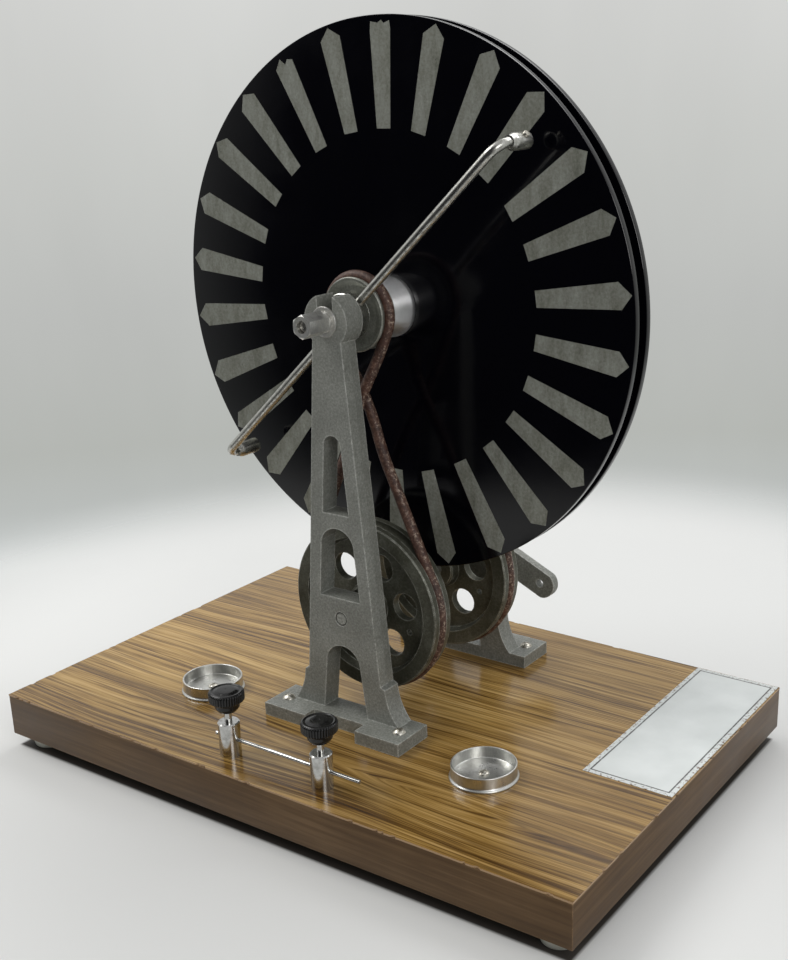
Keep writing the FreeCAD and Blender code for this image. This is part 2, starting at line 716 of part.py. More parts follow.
crank_arm = new_body("crank_arm")
arm_sketch = new_sketch(crank_arm, "XZ_Plane", -D.crank_inner)
half_width = D.crank_width / 2
arm_end = D.crank_throw + 4.5
outline(arm_sketch, [(0, -half_width), (arm_end, -half_width), (arm_end, half_width), (0, half_width)],
        {1: (9.1, -1), 3: (half_width + 0.05, -1)})
arm_pad = pad(crank_arm, arm_sketch, D.crank_thickness)
arm_pad.Reversed = True
arm_holes = new_sketch(crank_arm, "XZ_Plane")
circle(arm_holes, 0, 0, D.shaft_radius)
circle(arm_holes, D.crank_throw, 0, D.handle_hole_radius)
cut_through(crank_arm, arm_holes)
place(crank_arm, shaft_centre, crank_turn)
nut("crank_nut", shaft_centre, crank_outer, D.shaft_end - 0.5, D.spindle_thread_radius)


# Belts: round leather cord with a butt joint, crossed at the front and open at the back

def strand_with_hump(start, end, middle, hump, half_length):
    """Edges of a straight run that steps aside by hump along Y where it passes the other run."""
    way = (end - start).normalize()
    lean = 2 * math.atan2(abs(hump), half_length)
    bend = half_length / (2 * math.sin(lean))
    side = Vector(0, math.copysign(1, hump), 0)

    def at(distance, offset):
        return middle + way * distance + side * offset

    rise, short = abs(hump), bend * (1 - math.cos(lean / 2))
    reach = bend * math.sin(lean / 2)
    points = [at(-half_length, 0), at(-half_length / 2, rise / 2), at(half_length / 2, rise / 2),
              at(half_length, 0)]
    return [Part.LineSegment(start, points[0]).toShape(),
            Part.Arc(points[0], at(-half_length + reach, short), points[1]).toShape(),
            Part.Arc(points[1], at(0, rise), points[2]).toShape(),
            Part.Arc(points[2], at(half_length - reach, short), points[3]).toShape(),
            Part.LineSegment(points[3], end).toShape()]


def belt(label, side, crossed):
    """A loop round the large and the small pitch circle, from its joint back to its joint."""
    small, large, plane, radius, distance = number_of(
        D.small_pitch_radius, D.large_pitch_radius, side * D.belt_plane, D.belt_radius,
        D.axle_height - D.shaft_height)
    sign = -1 if crossed else 1
    lean = math.acos((large - sign * small) / distance)
    away = Vector(math.sin(lean), 0, math.cos(lean))
    mirrored = Vector(-away.x, 0, away.z)
    low, high = Vector(0, plane, 0), Vector(0, plane, distance)
    right_low, left_low = low + away * large, low + mirrored * large
    from_right, from_left = high + away * small * sign, high + mirrored * small * sign
    if crossed:
        share = large / (large + small)
        hump = radius + 0.35
        crossing = right_low + (from_right - right_low) * share
        up = strand_with_hump(right_low, from_right, crossing, hump, 38)
        down = strand_with_hump(from_left, left_low, crossing, -hump, 38)
    else:
        up = [Part.LineSegment(right_low, from_right).toShape()]
        down = [Part.LineSegment(from_left, left_low).toShape()]
    over = Part.Arc(from_right, high + Vector(0, 0, small), from_left).toShape()
    joint = low + Vector(0.15, 0, -large)
    joint_end = low + Vector(-0.15, 0, -large)
    quarter = Vector(math.sin(math.radians(45)), 0, -math.cos(math.radians(45))) * large
    first = Part.Arc(joint, low + quarter, right_low).toShape()
    last = Part.Arc(left_low, low + Vector(-quarter.x, 0, quarter.z), joint_end).toShape()
    path = Part.Wire([first] + up + [over] + down + [last])
    section = Part.Wire([Part.Circle(joint, Vector(1, 0, 0), radius).toShape()])
    item = doc.addObject("Part::Feature", label)
    item.Label = label
    item.Shape = path.makePipeShell([section], True, False)
    sub_parts.append(item)
    place(item, shaft_centre)
    expected = path.Length * math.pi * radius ** 2
    print(f"{label}: length {path.Length:.1f} mm, volume {item.Shape.Volume / expected:.4f} of its run")


belt("front_belt", -1, True)
belt("back_belt", 1, False)


# Cups: two shallow aluminium dishes that would hold the jars

cup_inner = D.cup_radius - D.cup_wall
for end_name, side in (("left", -1), ("right", 1)):
    turned(f"{end_name}_cup", [
        (D.screw_radius + D.running_clearance, 0), (D.cup_foot_radius, 0), (D.cup_foot_radius, 1.2),
        (D.cup_radius, 2.6), (D.cup_radius, D.cup_height), (cup_inner, D.cup_height),
        (cup_inner, D.cup_floor), (D.screw_radius + 2, D.cup_floor),
        (D.screw_radius + D.running_clearance, 0.2)],
        (D.machine_x + side * D.cup_x, D.machine_y - D.cup_y, base_top), axis="Z")

floor_height = number_of(D.cup_floor)[0]
sunk_head = Part.makeCone(shank_radius, shank_radius + 1.5, 1.2, Vector(0, 0, floor_height - 1.3))
sunk_shank = Part.makeCylinder(shank_radius, 12, Vector(0, 0, floor_height - 13.3))
sunk_slot = Part.makeBox(9, 0.8, 0.6, Vector(-4.5, -0.4, floor_height - 0.6))
screws_at("cup_screws",
          [(D.machine_x + side * D.cup_x, D.machine_y - D.cup_y, base_top) for side in (-1, 1)],
          sunk_head.cut(sunk_slot).fuse(sunk_shank), Rotation(Vector(0, 0, 1), 40))


# Terminals: two chrome posts with thumb screws that clamp a loose link rod

def terminal_post(label, x):
    body = turned(label, [
        (0, -12), (D.screw_radius, -12), (D.screw_radius, 0), (D.post_radius, 0),
        (D.post_radius, D.post_height - 0.6), (D.post_radius - 0.6, D.post_height),
        (D.stem_radius + 0.06, D.post_height), (D.stem_radius + 0.06, D.link_height),
        (0, D.link_height)], (x, D.machine_y - D.post_y, base_top), axis="Z")
    doc.recompute()
    across = new_sketch(body, "YZ_Plane")
    circle(across, 0, D.link_height, D.link_radius + D.running_clearance)
    cut_through(body, across)


def thumb_knob(label, x):
    """Fluted black knob: a stepped skirt below, a dished and domed top."""
    bottom, rim = D.knob_bottom, D.knob_radius
    top = bottom + D.knob_height
    body = turned(label, [
        (D.stem_radius + 0.02, bottom), (D.skirt_radius - 0.5, bottom), (D.skirt_radius, bottom + 0.5),
        (D.skirt_radius, bottom + 4.6), (rim - 1.2, bottom + 5.6), (rim, bottom + 7),
        (rim, top - 1.3), (rim - 0.9, top - 0.3), (rim - 2.3, top - 0.5), (0, top),
        (0, bottom + 7), (D.stem_radius + 0.02, bottom + 7)],
        (x, D.machine_y - D.post_y, base_top), arcs={8: (14, 1)}, axis="Z")
    doc.recompute()
    flute_sketch = new_sketch(body, "XY_Plane", bottom + 5)
    circle(flute_sketch, rim + 0.35, 0, 0.8)
    flute = body.newObject("PartDesign::Pocket", label + "_flute")
    flute.Profile = flute_sketch
    flute.Reversed = True
    bind(flute, "Length", 6)
    pattern(body, flute, D.knob_flutes, "Z_Axis")


for end_name, side in (("left", -1), ("right", 1)):
    post_x = D.machine_x + side * D.post_x
    terminal_post(f"{end_name}_terminal_post", post_x)
    stem_bottom = D.link_height + D.link_radius + 0.12
    turned(f"{end_name}_thumb_screw", [
        (0, stem_bottom), (D.stem_radius - 0.5, stem_bottom), (D.stem_radius, stem_bottom + 0.6),
        (D.stem_radius, D.knob_bottom + 6.8), (0, D.knob_bottom + 6.8)],
        (post_x, D.machine_y - D.post_y, base_top), axis="Z")
    thumb_knob(f"{end_name}_thumb_knob", post_x)

link = new_body("link_rod")
link_section = new_sketch(link, "YZ_Plane")
circle(link_section, 0, 0, D.link_radius)
pad(link, link_section, D.link_length)
place(link, (D.machine_x - D.link_start, D.machine_y - D.post_y, base_top + D.link_height))


# Check every piece, then write one file for each

doc.recompute()
for item in doc.Objects:
    if "Invalid" in item.State or "Error" in item.State:
        raise RuntimeError(f"{item.Name} did not build: {item.State}")
os.makedirs("parts", exist_ok=True)
for item in sub_parts:
    if item.Shape.isNull() or not item.Shape.isValid() or not item.Shape.Solids:
        raise RuntimeError(f"{item.Label} has no valid solid")
    item.Shape.exportStep(f"parts/{item.Label}.step")
print(f"{len(sub_parts)} sub-parts written")
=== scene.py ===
"""Looks for a school Wimshurst machine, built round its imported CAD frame.

All sizes are in metres, in the frame's own axes: X along the board, Y along the spindle from
the front upright to the crank, Z up from the plane that the feet stand on.
"""
import math
import random

import bmesh
import bpy
from mathutils import Matrix, Vector


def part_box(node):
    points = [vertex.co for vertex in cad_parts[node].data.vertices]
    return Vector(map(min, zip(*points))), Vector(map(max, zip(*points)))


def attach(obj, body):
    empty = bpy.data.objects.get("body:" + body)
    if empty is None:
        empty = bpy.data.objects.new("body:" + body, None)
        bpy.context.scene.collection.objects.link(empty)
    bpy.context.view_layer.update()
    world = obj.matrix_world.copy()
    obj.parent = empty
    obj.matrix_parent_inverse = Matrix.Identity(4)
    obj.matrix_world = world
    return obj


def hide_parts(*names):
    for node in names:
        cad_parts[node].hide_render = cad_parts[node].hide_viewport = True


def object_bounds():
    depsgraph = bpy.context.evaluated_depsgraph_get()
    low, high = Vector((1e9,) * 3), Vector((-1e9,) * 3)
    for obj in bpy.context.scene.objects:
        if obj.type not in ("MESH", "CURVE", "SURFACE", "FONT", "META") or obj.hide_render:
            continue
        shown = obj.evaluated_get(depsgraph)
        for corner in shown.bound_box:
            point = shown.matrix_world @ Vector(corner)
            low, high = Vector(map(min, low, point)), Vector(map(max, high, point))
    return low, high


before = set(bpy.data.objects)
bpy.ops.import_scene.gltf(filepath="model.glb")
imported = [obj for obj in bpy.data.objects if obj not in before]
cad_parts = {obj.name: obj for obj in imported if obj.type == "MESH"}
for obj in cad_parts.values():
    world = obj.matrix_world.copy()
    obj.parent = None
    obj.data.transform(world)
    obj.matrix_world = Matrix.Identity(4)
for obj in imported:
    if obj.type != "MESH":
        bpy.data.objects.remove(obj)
cad_low, cad_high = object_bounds()


# Camera: a normal lens a little above the discs' lower half, looking along the board from its
# front right corner. The frame is shifted because the picture was cropped on one side.
MM = 0.001
CAMERA_PLACE = Vector((436.2, -554.1, 384.2)) * MM
CAMERA_AZIMUTH = math.radians(33.34)
CAMERA_DROP = math.radians(18.16)
CAMERA_ROLL = math.radians(0.81)
FOCAL_PIXELS = 1294.2
IMAGE_WIDTH, IMAGE_HEIGHT = 788, 960
AXIS_PIXEL = (490, 500)
SENSOR_WIDTH = 36

camera_data = bpy.data.cameras.new("camera")
camera_data.sensor_width = SENSOR_WIDTH
camera_data.lens = FOCAL_PIXELS / IMAGE_HEIGHT * SENSOR_WIDTH
camera_data.shift_x = (IMAGE_WIDTH / 2 - AXIS_PIXEL[0]) / IMAGE_HEIGHT
camera_data.shift_y = (AXIS_PIXEL[1] - IMAGE_HEIGHT / 2) / IMAGE_HEIGHT
camera_data.clip_start, camera_data.clip_end = 0.01, 50
camera = bpy.data.objects.new("camera", camera_data)
bpy.context.collection.objects.link(camera)
looking = Vector((-math.sin(CAMERA_AZIMUTH) * math.cos(CAMERA_DROP),
                  math.cos(CAMERA_AZIMUTH) * math.cos(CAMERA_DROP), -math.sin(CAMERA_DROP)))
camera.rotation_mode = "QUATERNION"
camera.rotation_quaternion = (Matrix.Rotation(CAMERA_ROLL, 4, looking)
                              @ looking.to_track_quat("-Z", "Y").to_matrix().to_4x4()).to_quaternion()
camera.location = CAMERA_PLACE
bpy.context.scene.camera = camera
bpy.context.scene.view_settings.view_transform = "Standard"


# Floor and light: a pale sheet that fades into a pale room, with a painted shadow under the board, one
# big soft lamp over the left shoulder, a weaker one from the right and a long one behind that puts a
# sheen on the board.
def add_node(tree, kind, inputs=None, **settings):
    """Add a shader node. inputs maps a socket's name or number to a value or to a socket."""
    made = tree.nodes.new(kind)
    for key, value in settings.items():
        setattr(made, key, value)
    for key, value in (inputs or {}).items():
        socket = made.inputs[key]
        if isinstance(value, bpy.types.NodeSocket):
            tree.links.new(value, socket)
        else:
            socket.default_value = value
    return made


def tree_of(*values):
    """The node tree that the first pattern among some values belongs to."""
    return next(value.id_data for value in values if isinstance(value, bpy.types.NodeSocket))


def maths(operation, first, second=0.0, third=0.5, clamp=False):
    """One sum on numbers or patterns. Only a multiply-and-add uses the third."""
    return add_node(tree_of(first, second), "ShaderNodeMath", {0: first, 1: second, 2: third},
                    operation=operation, use_clamp=clamp).outputs[0]


def ramp(factor, stops):
    """A colour ramp through (position, colour) stops; its colour output is returned."""
    made = add_node(factor.id_data, "ShaderNodeValToRGB", {"Fac": factor})
    points = made.color_ramp.elements
    while len(points) > 1:
        points.remove(points[-1])
    points[0].position = stops[0][0]
    points[0].color = (*stops[0][1], 1)
    for position, colour in stops[1:]:
        points.new(position).color = (*colour, 1)
    return made.outputs["Color"]


def blend_colours(factor, first, second, blend="MIX"):
    made = add_node(tree_of(factor, first, second), "ShaderNodeMix", data_type="RGBA", blend_type=blend)
    for index, value in ((0, factor), (6, first), (7, second)):
        if isinstance(value, bpy.types.NodeSocket):
            value.id_data.links.new(value, made.inputs[index])
        else:
            made.inputs[index].default_value = value if index == 0 else (*value, 1)
    return made.outputs[2]


def noise_at(place, scale, detail=3.0, roughness=0.5, distortion=0.0):
    return add_node(place.id_data, "ShaderNodeTexNoise", {
        "Vector": place, "Scale": scale, "Detail": detail, "Roughness": roughness,
        "Distortion": distortion}).outputs["Fac"]


world = bpy.data.worlds.new("room")
bpy.context.scene.world = world
world.use_nodes = True
room = world.node_tree
room.nodes.clear()
direction = add_node(room, "ShaderNodeTexCoord").outputs["Generated"]
split_direction = add_node(room, "ShaderNodeSeparateXYZ", {0: direction})
height = maths("MULTIPLY_ADD", split_direction.outputs["Z"], 0.5, 0.5)
# The backdrop ramp paints the sheet's light and shade: a painted highlight along its fold, a darker band
# beyond it, and paler again towards the horizon. The crease noise paints soft shade across it.
backdrop = ramp(height, [
    (0.0, (0.70, 0.705, 0.69)), (0.29, (0.74, 0.745, 0.73)), (0.325, (0.70, 0.72, 0.71)),
    (0.333, (0.72, 0.74, 0.73)), (0.342, (0.56, 0.585, 0.575)), (0.352, (0.50, 0.52, 0.505)),
    (0.37, (0.47, 0.485, 0.46)), (0.42, (0.51, 0.52, 0.505)), (0.47, (0.575, 0.585, 0.565)),
    (0.53, (0.66, 0.665, 0.65)), (0.66, (0.72, 0.725, 0.72)), (1.0, (0.66, 0.66, 0.66))])
crease = noise_at(add_node(room, "ShaderNodeMapping", {
    "Vector": direction, "Rotation": (0, 0.5, 0), "Scale": (5, 5, 1.5)}).outputs[0], 1.0, 4, 0.55)
backdrop = blend_colours(1.0, backdrop, ramp(crease, [
    (0.30, (0.93, 0.93, 0.93)), (0.5, (0.98, 0.98, 0.98)), (0.70, (1.03, 1.03, 1.03))]), "MULTIPLY")
DARK_ROOM = (0.02, 0.02, 0.022)
to_front = maths("MULTIPLY_ADD", split_direction.outputs["Y"], -4.0, -1.8, clamp=True)
mirrored_room = blend_colours(to_front, backdrop, DARK_ROOM)
rays = add_node(room, "ShaderNodeLightPath")
seen_or_through = maths("MAXIMUM", rays.outputs["Is Camera Ray"],
                        rays.outputs["Is Transmission Ray"])
shown = blend_colours(rays.outputs["Is Glossy Ray"], backdrop, mirrored_room)
shown_any = maths("MAXIMUM", seen_or_through, rays.outputs["Is Glossy Ray"])
room_light = ramp(height, [
    (0.0, (0.40, 0.40, 0.39)), (0.45, (0.36, 0.36, 0.355)), (0.55, (0.34, 0.342, 0.345)),
    (0.85, (0.56, 0.565, 0.57)), (1.0, (0.62, 0.625, 0.63))])
DIM_FRONT_LIGHT = (0.20, 0.20, 0.205)
front_dim = maths("MULTIPLY_ADD", split_direction.outputs["Y"], -0.8, 0.0, clamp=True)
room_light = blend_colours(front_dim, room_light, DIM_FRONT_LIGHT)
room_colour = blend_colours(shown_any, room_light, shown)
room_shader = add_node(room, "ShaderNodeBackground", {"Color": room_colour, "Strength": 1.0})
add_node(room, "ShaderNodeOutputWorld", {"Surface": room_shader.outputs[0]})


LAMP_TARGET = Vector((0, 0, 0.15))


def add_lamp(name, place, size, watts, colour=(1, 1, 1)):
    """A soft rectangular lamp that points at the middle of the machine."""
    lamp = bpy.data.lights.new(name, "AREA")
    lamp.shape = "RECTANGLE"
    lamp.size, lamp.size_y = size
    lamp.energy = watts
    lamp.color = colour
    holder = bpy.data.objects.new(name, lamp)
    bpy.context.collection.objects.link(holder)
    holder.location = place
    holder.rotation_euler = (LAMP_TARGET - Vector(place)).to_track_quat("-Z", "Y").to_euler()


add_lamp("window_lamp", place=(-0.95, -0.35, 1.25), size=(1.0, 0.8), watts=13, colour=(1, 0.99, 0.97))
add_lamp("ceiling_lamp", place=(0.15, 0.75, 1.25), size=(1.6, 0.5), watts=9)
add_lamp("side_lamp", place=(1.25, -0.75, 0.75), size=(0.6, 0.6), watts=6, colour=(1, 0.99, 0.98))

FLOOR_RADIUS, FADE_START, FADE_END = 1.0, 0.33, 0.56
FADE_CENTRE = (0, 0.08, 0)
# The second colour is a painted shadow for the floor under the board; the inset is how far in from the
# board's edge it is fully dark.
SHEET_COLOUR, PAINTED_SHADOW_COLOUR, PAINTED_SHADOW_INSET = (0.67, 0.675, 0.665), (0.05, 0.045, 0.04), 3 * MM
floor_mesh = bpy.data.meshes.new("floor")
shape = bmesh.new()
bmesh.ops.create_circle(shape, cap_ends=True, segments=96, radius=FLOOR_RADIUS)
bmesh.ops.translate(shape, verts=shape.verts, vec=(0, 0, cad_low.z))
shape.to_mesh(floor_mesh)
shape.free()
floor = bpy.data.objects.new("floor", floor_mesh)
bpy.context.collection.objects.link(floor)
floor_material = bpy.data.materials.new("pale_sheet")
floor_material.use_nodes = True
sheet_tree = floor_material.node_tree
sheet_tree.nodes.clear()
sheet_place = add_node(sheet_tree, "ShaderNodeTexCoord").outputs["Object"]
sheet_offset = add_node(sheet_tree, "ShaderNodeVectorMath", {0: sheet_place, 1: FADE_CENTRE},
                        operation="SUBTRACT").outputs["Vector"]
from_centre = add_node(sheet_tree, "ShaderNodeVectorMath", {0: sheet_offset}, operation="LENGTH")
fade = add_node(sheet_tree, "ShaderNodeMapRange", {
    "Value": from_centre.outputs["Value"], "From Min": FADE_START, "From Max": FADE_END},
    interpolation_type="SMOOTHSTEP")
sheet_parts = add_node(sheet_tree, "ShaderNodeSeparateXYZ", {0: sheet_place})
board_low, board_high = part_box("base_board")
# Painted shadow: the sheet turns near-black inside the board's outline, fading out towards its edge, to
# stand for the shade in the gap under the board.
painted_shadow_under_board = maths("MULTIPLY", *[
    add_node(sheet_tree, "ShaderNodeMapRange", {
        "Value": maths("ABSOLUTE", sheet_parts.outputs[axis]),
        "From Min": reach - 1 * MM, "From Max": reach - PAINTED_SHADOW_INSET}).outputs["Result"]
    for axis, reach in (("X", board_high.x), ("Y", board_high.y))])
sheet_colour = blend_colours(painted_shadow_under_board, SHEET_COLOUR, PAINTED_SHADOW_COLOUR)
sheet_surface = add_node(sheet_tree, "ShaderNodeBsdfPrincipled", {
    "Base Color": sheet_colour, "Roughness": 0.6, "Specular IOR Level": 0.25})
clear = add_node(sheet_tree, "ShaderNodeBsdfTransparent")
sheet_mix = add_node(sheet_tree, "ShaderNodeMixShader", {
    0: fade.outputs["Result"], 1: sheet_surface.outputs[0], 2: clear.outputs[0]})
add_node(sheet_tree, "ShaderNodeOutputMaterial", {"Surface": sheet_mix.outputs[0]})
floor_mesh.materials.append(floor_material)


# Base board: a chipboard slab with its four sides faced in plain dark brown laminate, cut to size
# and glued. Its edges are sharp, but rubbed paler.
def new_material(name, colour, metallic=0.0, roughness=0.5, specular=0.5):
    """A material with only its main shader, and the tree to add to."""
    made = bpy.data.materials.new(name)
    made.use_nodes = True
    tree = made.node_tree
    shader = tree.nodes["Principled BSDF"]
    shader.inputs["Base Color"].default_value = (*colour, 1)
    shader.inputs["Metallic"].default_value = metallic
    shader.inputs["Roughness"].default_value = roughness
    shader.inputs["Specular IOR Level"].default_value = specular
    return made, tree, shader


def object_place(tree, scale=(1, 1, 1), turn=(0, 0, 0), move=(0, 0, 0)):
    """The point on the piece, stretched and turned for one pattern."""
    place = add_node(tree, "ShaderNodeTexCoord").outputs["Object"]
    return add_node(tree, "ShaderNodeMapping", {
        "Vector": place, "Location": move, "Rotation": turn, "Scale": scale}).outputs[0]


def spread(value, low, high, new_low=0.0, new_high=1.0):
    """Stretch the range low to high of a pattern over a new range, and clip it there."""
    return add_node(value.id_data, "ShaderNodeMapRange", {
        "Value": value, "From Min": low, "From Max": high, "To Min": new_low,
        "To Max": new_high}).outputs["Result"]


def weighted(*patterns):
    """The sum of some patterns, each given with its weight."""
    total = None
    for pattern, weight in patterns:
        part = maths("MULTIPLY", pattern, weight)
        total = part if total is None else maths("ADD", total, part)
    return total


def feed(shader, colour=None, roughness=None):
    """Join patterns to the colour and the roughness of a main shader."""
    for socket_name, pattern in (("Base Color", colour), ("Roughness", roughness)):
        if pattern is not None:
            shader.id_data.links.new(pattern, shader.inputs[socket_name])


def bump(shader, height_pattern, depth, strength=1.0):
    tree = shader.id_data
    made = add_node(tree, "ShaderNodeBump", {
        "Height": height_pattern, "Distance": depth, "Strength": strength})
    tree.links.new(made.outputs[0], shader.inputs["Normal"])


def bevelled_box(low, high, bevel):
    """A bmesh of a box between two corners, with all its edges rounded."""
    shape = bmesh.new()
    bmesh.ops.create_cube(shape, size=1)
    bmesh.ops.scale(shape, verts=shape.verts, vec=high - low)
    bmesh.ops.translate(shape, verts=shape.verts, vec=(high + low) / 2)
    bmesh.ops.bevel(shape, geom=shape.edges[:], offset=bevel, offset_type="OFFSET", segments=2,
                    profile=0.5, affect="EDGES", material=-1)
    return shape


def finish_piece(name, shape, material, body, replaced=(), smooth_angle=30):
    """Turn a bmesh into a piece that rides on a body, with its material and its CAD nodes."""
    bmesh.ops.recalc_face_normals(shape, faces=shape.faces)
    mesh = bpy.data.meshes.new(name)
    shape.to_mesh(mesh)
    shape.free()
    mesh.shade_smooth()
    mesh.set_sharp_from_angle(angle=math.radians(smooth_angle))
    piece = bpy.data.objects.new(name, mesh)
    bpy.context.collection.objects.link(piece)
    mesh.materials.append(material)
    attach(piece, body)
    if replaced:
        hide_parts(*replaced)
    return piece


WELD_REACH, CUT_REACH = 0.002 * MM, 0.0001 * MM
FLAT_ANGLE = math.radians(0.6)


def cut_through(shape, place, normal, clear_inner=False):
    """Cut a whole bmesh along a plane, and drop what lies behind it if asked."""
    return bmesh.ops.bisect_plane(shape, geom=shape.verts[:] + shape.edges[:] + shape.faces[:],
                                  dist=CUT_REACH, plane_co=place, plane_no=normal,
                                  clear_inner=clear_inner)["geom_cut"]


def merged_cad(node_name):
    """A bmesh of a CAD node with its loose triangles joined and its flat faces made whole.

    A flat face round a hole is kept in two parts, along a cut through the middle of the node.
    """
    shape = bmesh.new()
    shape.from_mesh(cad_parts[node_name].data)
    bmesh.ops.remove_doubles(shape, verts=shape.verts, dist=WELD_REACH)
    low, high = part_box(node_name)
    for item in cut_through(shape, (low + high) / 2, (1, 0, 0)):
        if isinstance(item, bmesh.types.BMEdge):
            item.seam = True
    bmesh.ops.dissolve_limit(shape, angle_limit=FLAT_ANGLE, verts=shape.verts, edges=shape.edges,
                             delimit={"SEAM"})
    return shape


def soften_edges(piece, width, segments, angle):
    """Rub every sharp edge of a piece down to a small round."""
    rub = piece.modifiers.new("rubbed_edges", "BEVEL")
    rub.width = width
    rub.segments = segments
    rub.limit_method = "ANGLE"
    rub.angle_limit = math.radians(angle)
    rub.harden_normals = True
    rub.miter_outer = "MITER_ARC"


# The edge mask serves rubbed edges, and on the castings and pulleys a painted highlight along the edges
# as well.
def build_edge_rub_and_highlight():
    """Group: a mask that is 1 on outer edges and 0 elsewhere, broken up by noise."""
    tree = bpy.data.node_groups.new("edge_rub_and_highlight", "ShaderNodeTree")
    for name, default in (("Width", 0.0006), ("Amount", 1.0), ("Breakup", 300.0)):
        socket = tree.interface.new_socket(name, in_out="INPUT", socket_type="NodeSocketFloat")
        socket.default_value = default
    tree.interface.new_socket("Mask", in_out="OUTPUT", socket_type="NodeSocketFloat")
    given = tree.nodes.new("NodeGroupInput")
    rounded = add_node(tree, "ShaderNodeBevel", {"Radius": given.outputs["Width"]}, samples=4)
    true_normal = add_node(tree, "ShaderNodeNewGeometry").outputs["Normal"]
    alike = add_node(tree, "ShaderNodeVectorMath", {0: rounded.outputs[0], 1: true_normal},
                     operation="DOT_PRODUCT").outputs["Value"]
    flat_to_the_eye, plainly_bent = 0.998, 0.955
    edge = spread(alike, flat_to_the_eye, plainly_bent)
    place = add_node(tree, "ShaderNodeTexCoord").outputs["Object"]
    broken = noise_at(place, given.outputs["Breakup"], 4, 0.65)
    marked = maths("MULTIPLY", edge, spread(broken, 0.35, 0.65))
    result = maths("MULTIPLY", marked, given.outputs["Amount"], clamp=True)
    add_node(tree, "NodeGroupOutput", {"Mask": result})
    return tree


edge_rub_and_highlight = build_edge_rub_and_highlight()


def use_group(tree, group, **values):
    """Place a shader node group with its own values; its outputs are returned."""
    made = add_node(tree, "ShaderNodeGroup", node_tree=group)
    for name, value in values.items():
        made.inputs[name.replace("_", " ")].default_value = value
    return made.outputs


def pale_rubbed_and_lit_edges(colour, width, amount, breakup, rubbed_and_lit_colour):
    """Blend a colour towards a paler one on the outer edges: rubbed wear, and on the castings and pulleys
    a painted highlight as well.
    """
    mask = use_group(colour.id_data, edge_rub_and_highlight, Width=width, Amount=amount, Breakup=breakup)["Mask"]
    return blend_colours(mask, colour, rubbed_and_lit_colour)


side_material, side_tree, side_shader = new_material("brown_edge_laminate", (0.115, 0.066, 0.03),
                                                     roughness=0.42, specular=0.25)
side_grain = noise_at(object_place(side_tree, (14, 14, 420)), 1.0, 5, 0.6, 0.3)
side_cloud = noise_at(object_place(side_tree, (1, 1, 1)), 22, 3)
side_colour = ramp(weighted((side_grain, 0.65), (side_cloud, 0.35)), [
    (0.30, (0.052, 0.027, 0.010)), (0.5, (0.090, 0.050, 0.020)), (0.70, (0.145, 0.088, 0.042))])
side_colour = pale_rubbed_and_lit_edges(side_colour, 0.9 * MM, 0.7, 160, (0.30, 0.19, 0.10))
feed(side_shader, side_colour, spread(side_cloud, 0.3, 0.7, 0.34, 0.5))
bump(side_shader, side_grain, 0.05 * MM, 0.5)

BOARD_BEVEL = 0.5 * MM
finish_piece("board", bevelled_box(board_low, board_high, BOARD_BEVEL), side_material, "stand",
             ["base_board"])


# Board top: one millimetre of glossy teak-print laminate glued on the slab. Its edges are chipped
# where they were cut, most of all along the front, and the chips show the paler core.
laminate_material, lam_tree, lam_shader = new_material("teak_print_laminate", (0.3, 0.18, 0.08),
                                                       roughness=0.24)
lam_place = add_node(lam_tree, "ShaderNodeTexCoord").outputs["Object"]
lam_parts = add_node(lam_tree, "ShaderNodeSeparateXYZ", {0: lam_place})
lam_wave = noise_at(object_place(lam_tree, (2.4, 9, 1)), 1.0, 2, 0.5)
HEART_X, HEART_Y, HEART_SLIMNESS = 0.10, -0.085, 0.13
heart_x = maths("MULTIPLY", maths("SUBTRACT", lam_parts.outputs["X"], HEART_X),
                HEART_SLIMNESS)
heart_y = maths("SUBTRACT", lam_parts.outputs["Y"], HEART_Y)
heart = maths("SQRT", maths("ADD", maths("MULTIPLY", heart_x, heart_x),
                                      maths("MULTIPLY", heart_y, heart_y)))
near_heart = spread(heart, 0.030, 0.006, 0.0, 0.8)
straight = maths("ABSOLUTE", heart_y)
across_grain = add_node(lam_tree, "ShaderNodeMix", {0: near_heart, 2: straight, 3: heart},
                        data_type="FLOAT").outputs[0]
side_of_heart = maths("MULTIPLY", maths("SIGN", heart_y), 0.4)
across_grain = maths("ADD", across_grain, maths("MULTIPLY", lam_wave, 0.030))
lam_bent = add_node(lam_tree, "ShaderNodeCombineXYZ", {
    "X": lam_parts.outputs["X"], "Y": across_grain, "Z": side_of_heart}).outputs[0]


def grain_band(scale, detail, rough):
    stretched = add_node(lam_tree, "ShaderNodeMapping", {"Vector": lam_bent, "Scale": scale}).outputs[0]
    return noise_at(stretched, 1.0, detail, rough)


wide_bands = grain_band((1.3, 120, 1), 2, 0.5)
fine_bands = grain_band((7, 640, 1), 3, 0.68)
line_bands = grain_band((3.5, 300, 2), 1, 0.5)
pores = grain_band((34, 1150, 1), 2, 0.6)
grain_sum = weighted((wide_bands, 0.24), (fine_bands, 0.58), (pores, 0.22))
lam_colour = ramp(grain_sum, [
    (0.385, (0.072, 0.034, 0.008)), (0.455, (0.170, 0.092, 0.022)), (0.50, (0.290, 0.170, 0.045)),
    (0.55, (0.385, 0.238, 0.070)), (0.63, (0.51, 0.340, 0.130))])
line_reach = maths("ABSOLUTE", maths("SUBTRACT", line_bands, 0.5))
dark_lines = maths("MULTIPLY", spread(line_reach, 0.035, 0.006),
                   spread(pores, 0.35, 0.55, 0.15, 0.55))
GRAIN_LINE, DARKER_PATCH, PALE_CORE = (0.055, 0.026, 0.008), (0.17, 0.09, 0.03), (0.36, 0.23, 0.12)
lam_colour = blend_colours(dark_lines, lam_colour, GRAIN_LINE)
lam_patch = noise_at(lam_place, 9, 2)
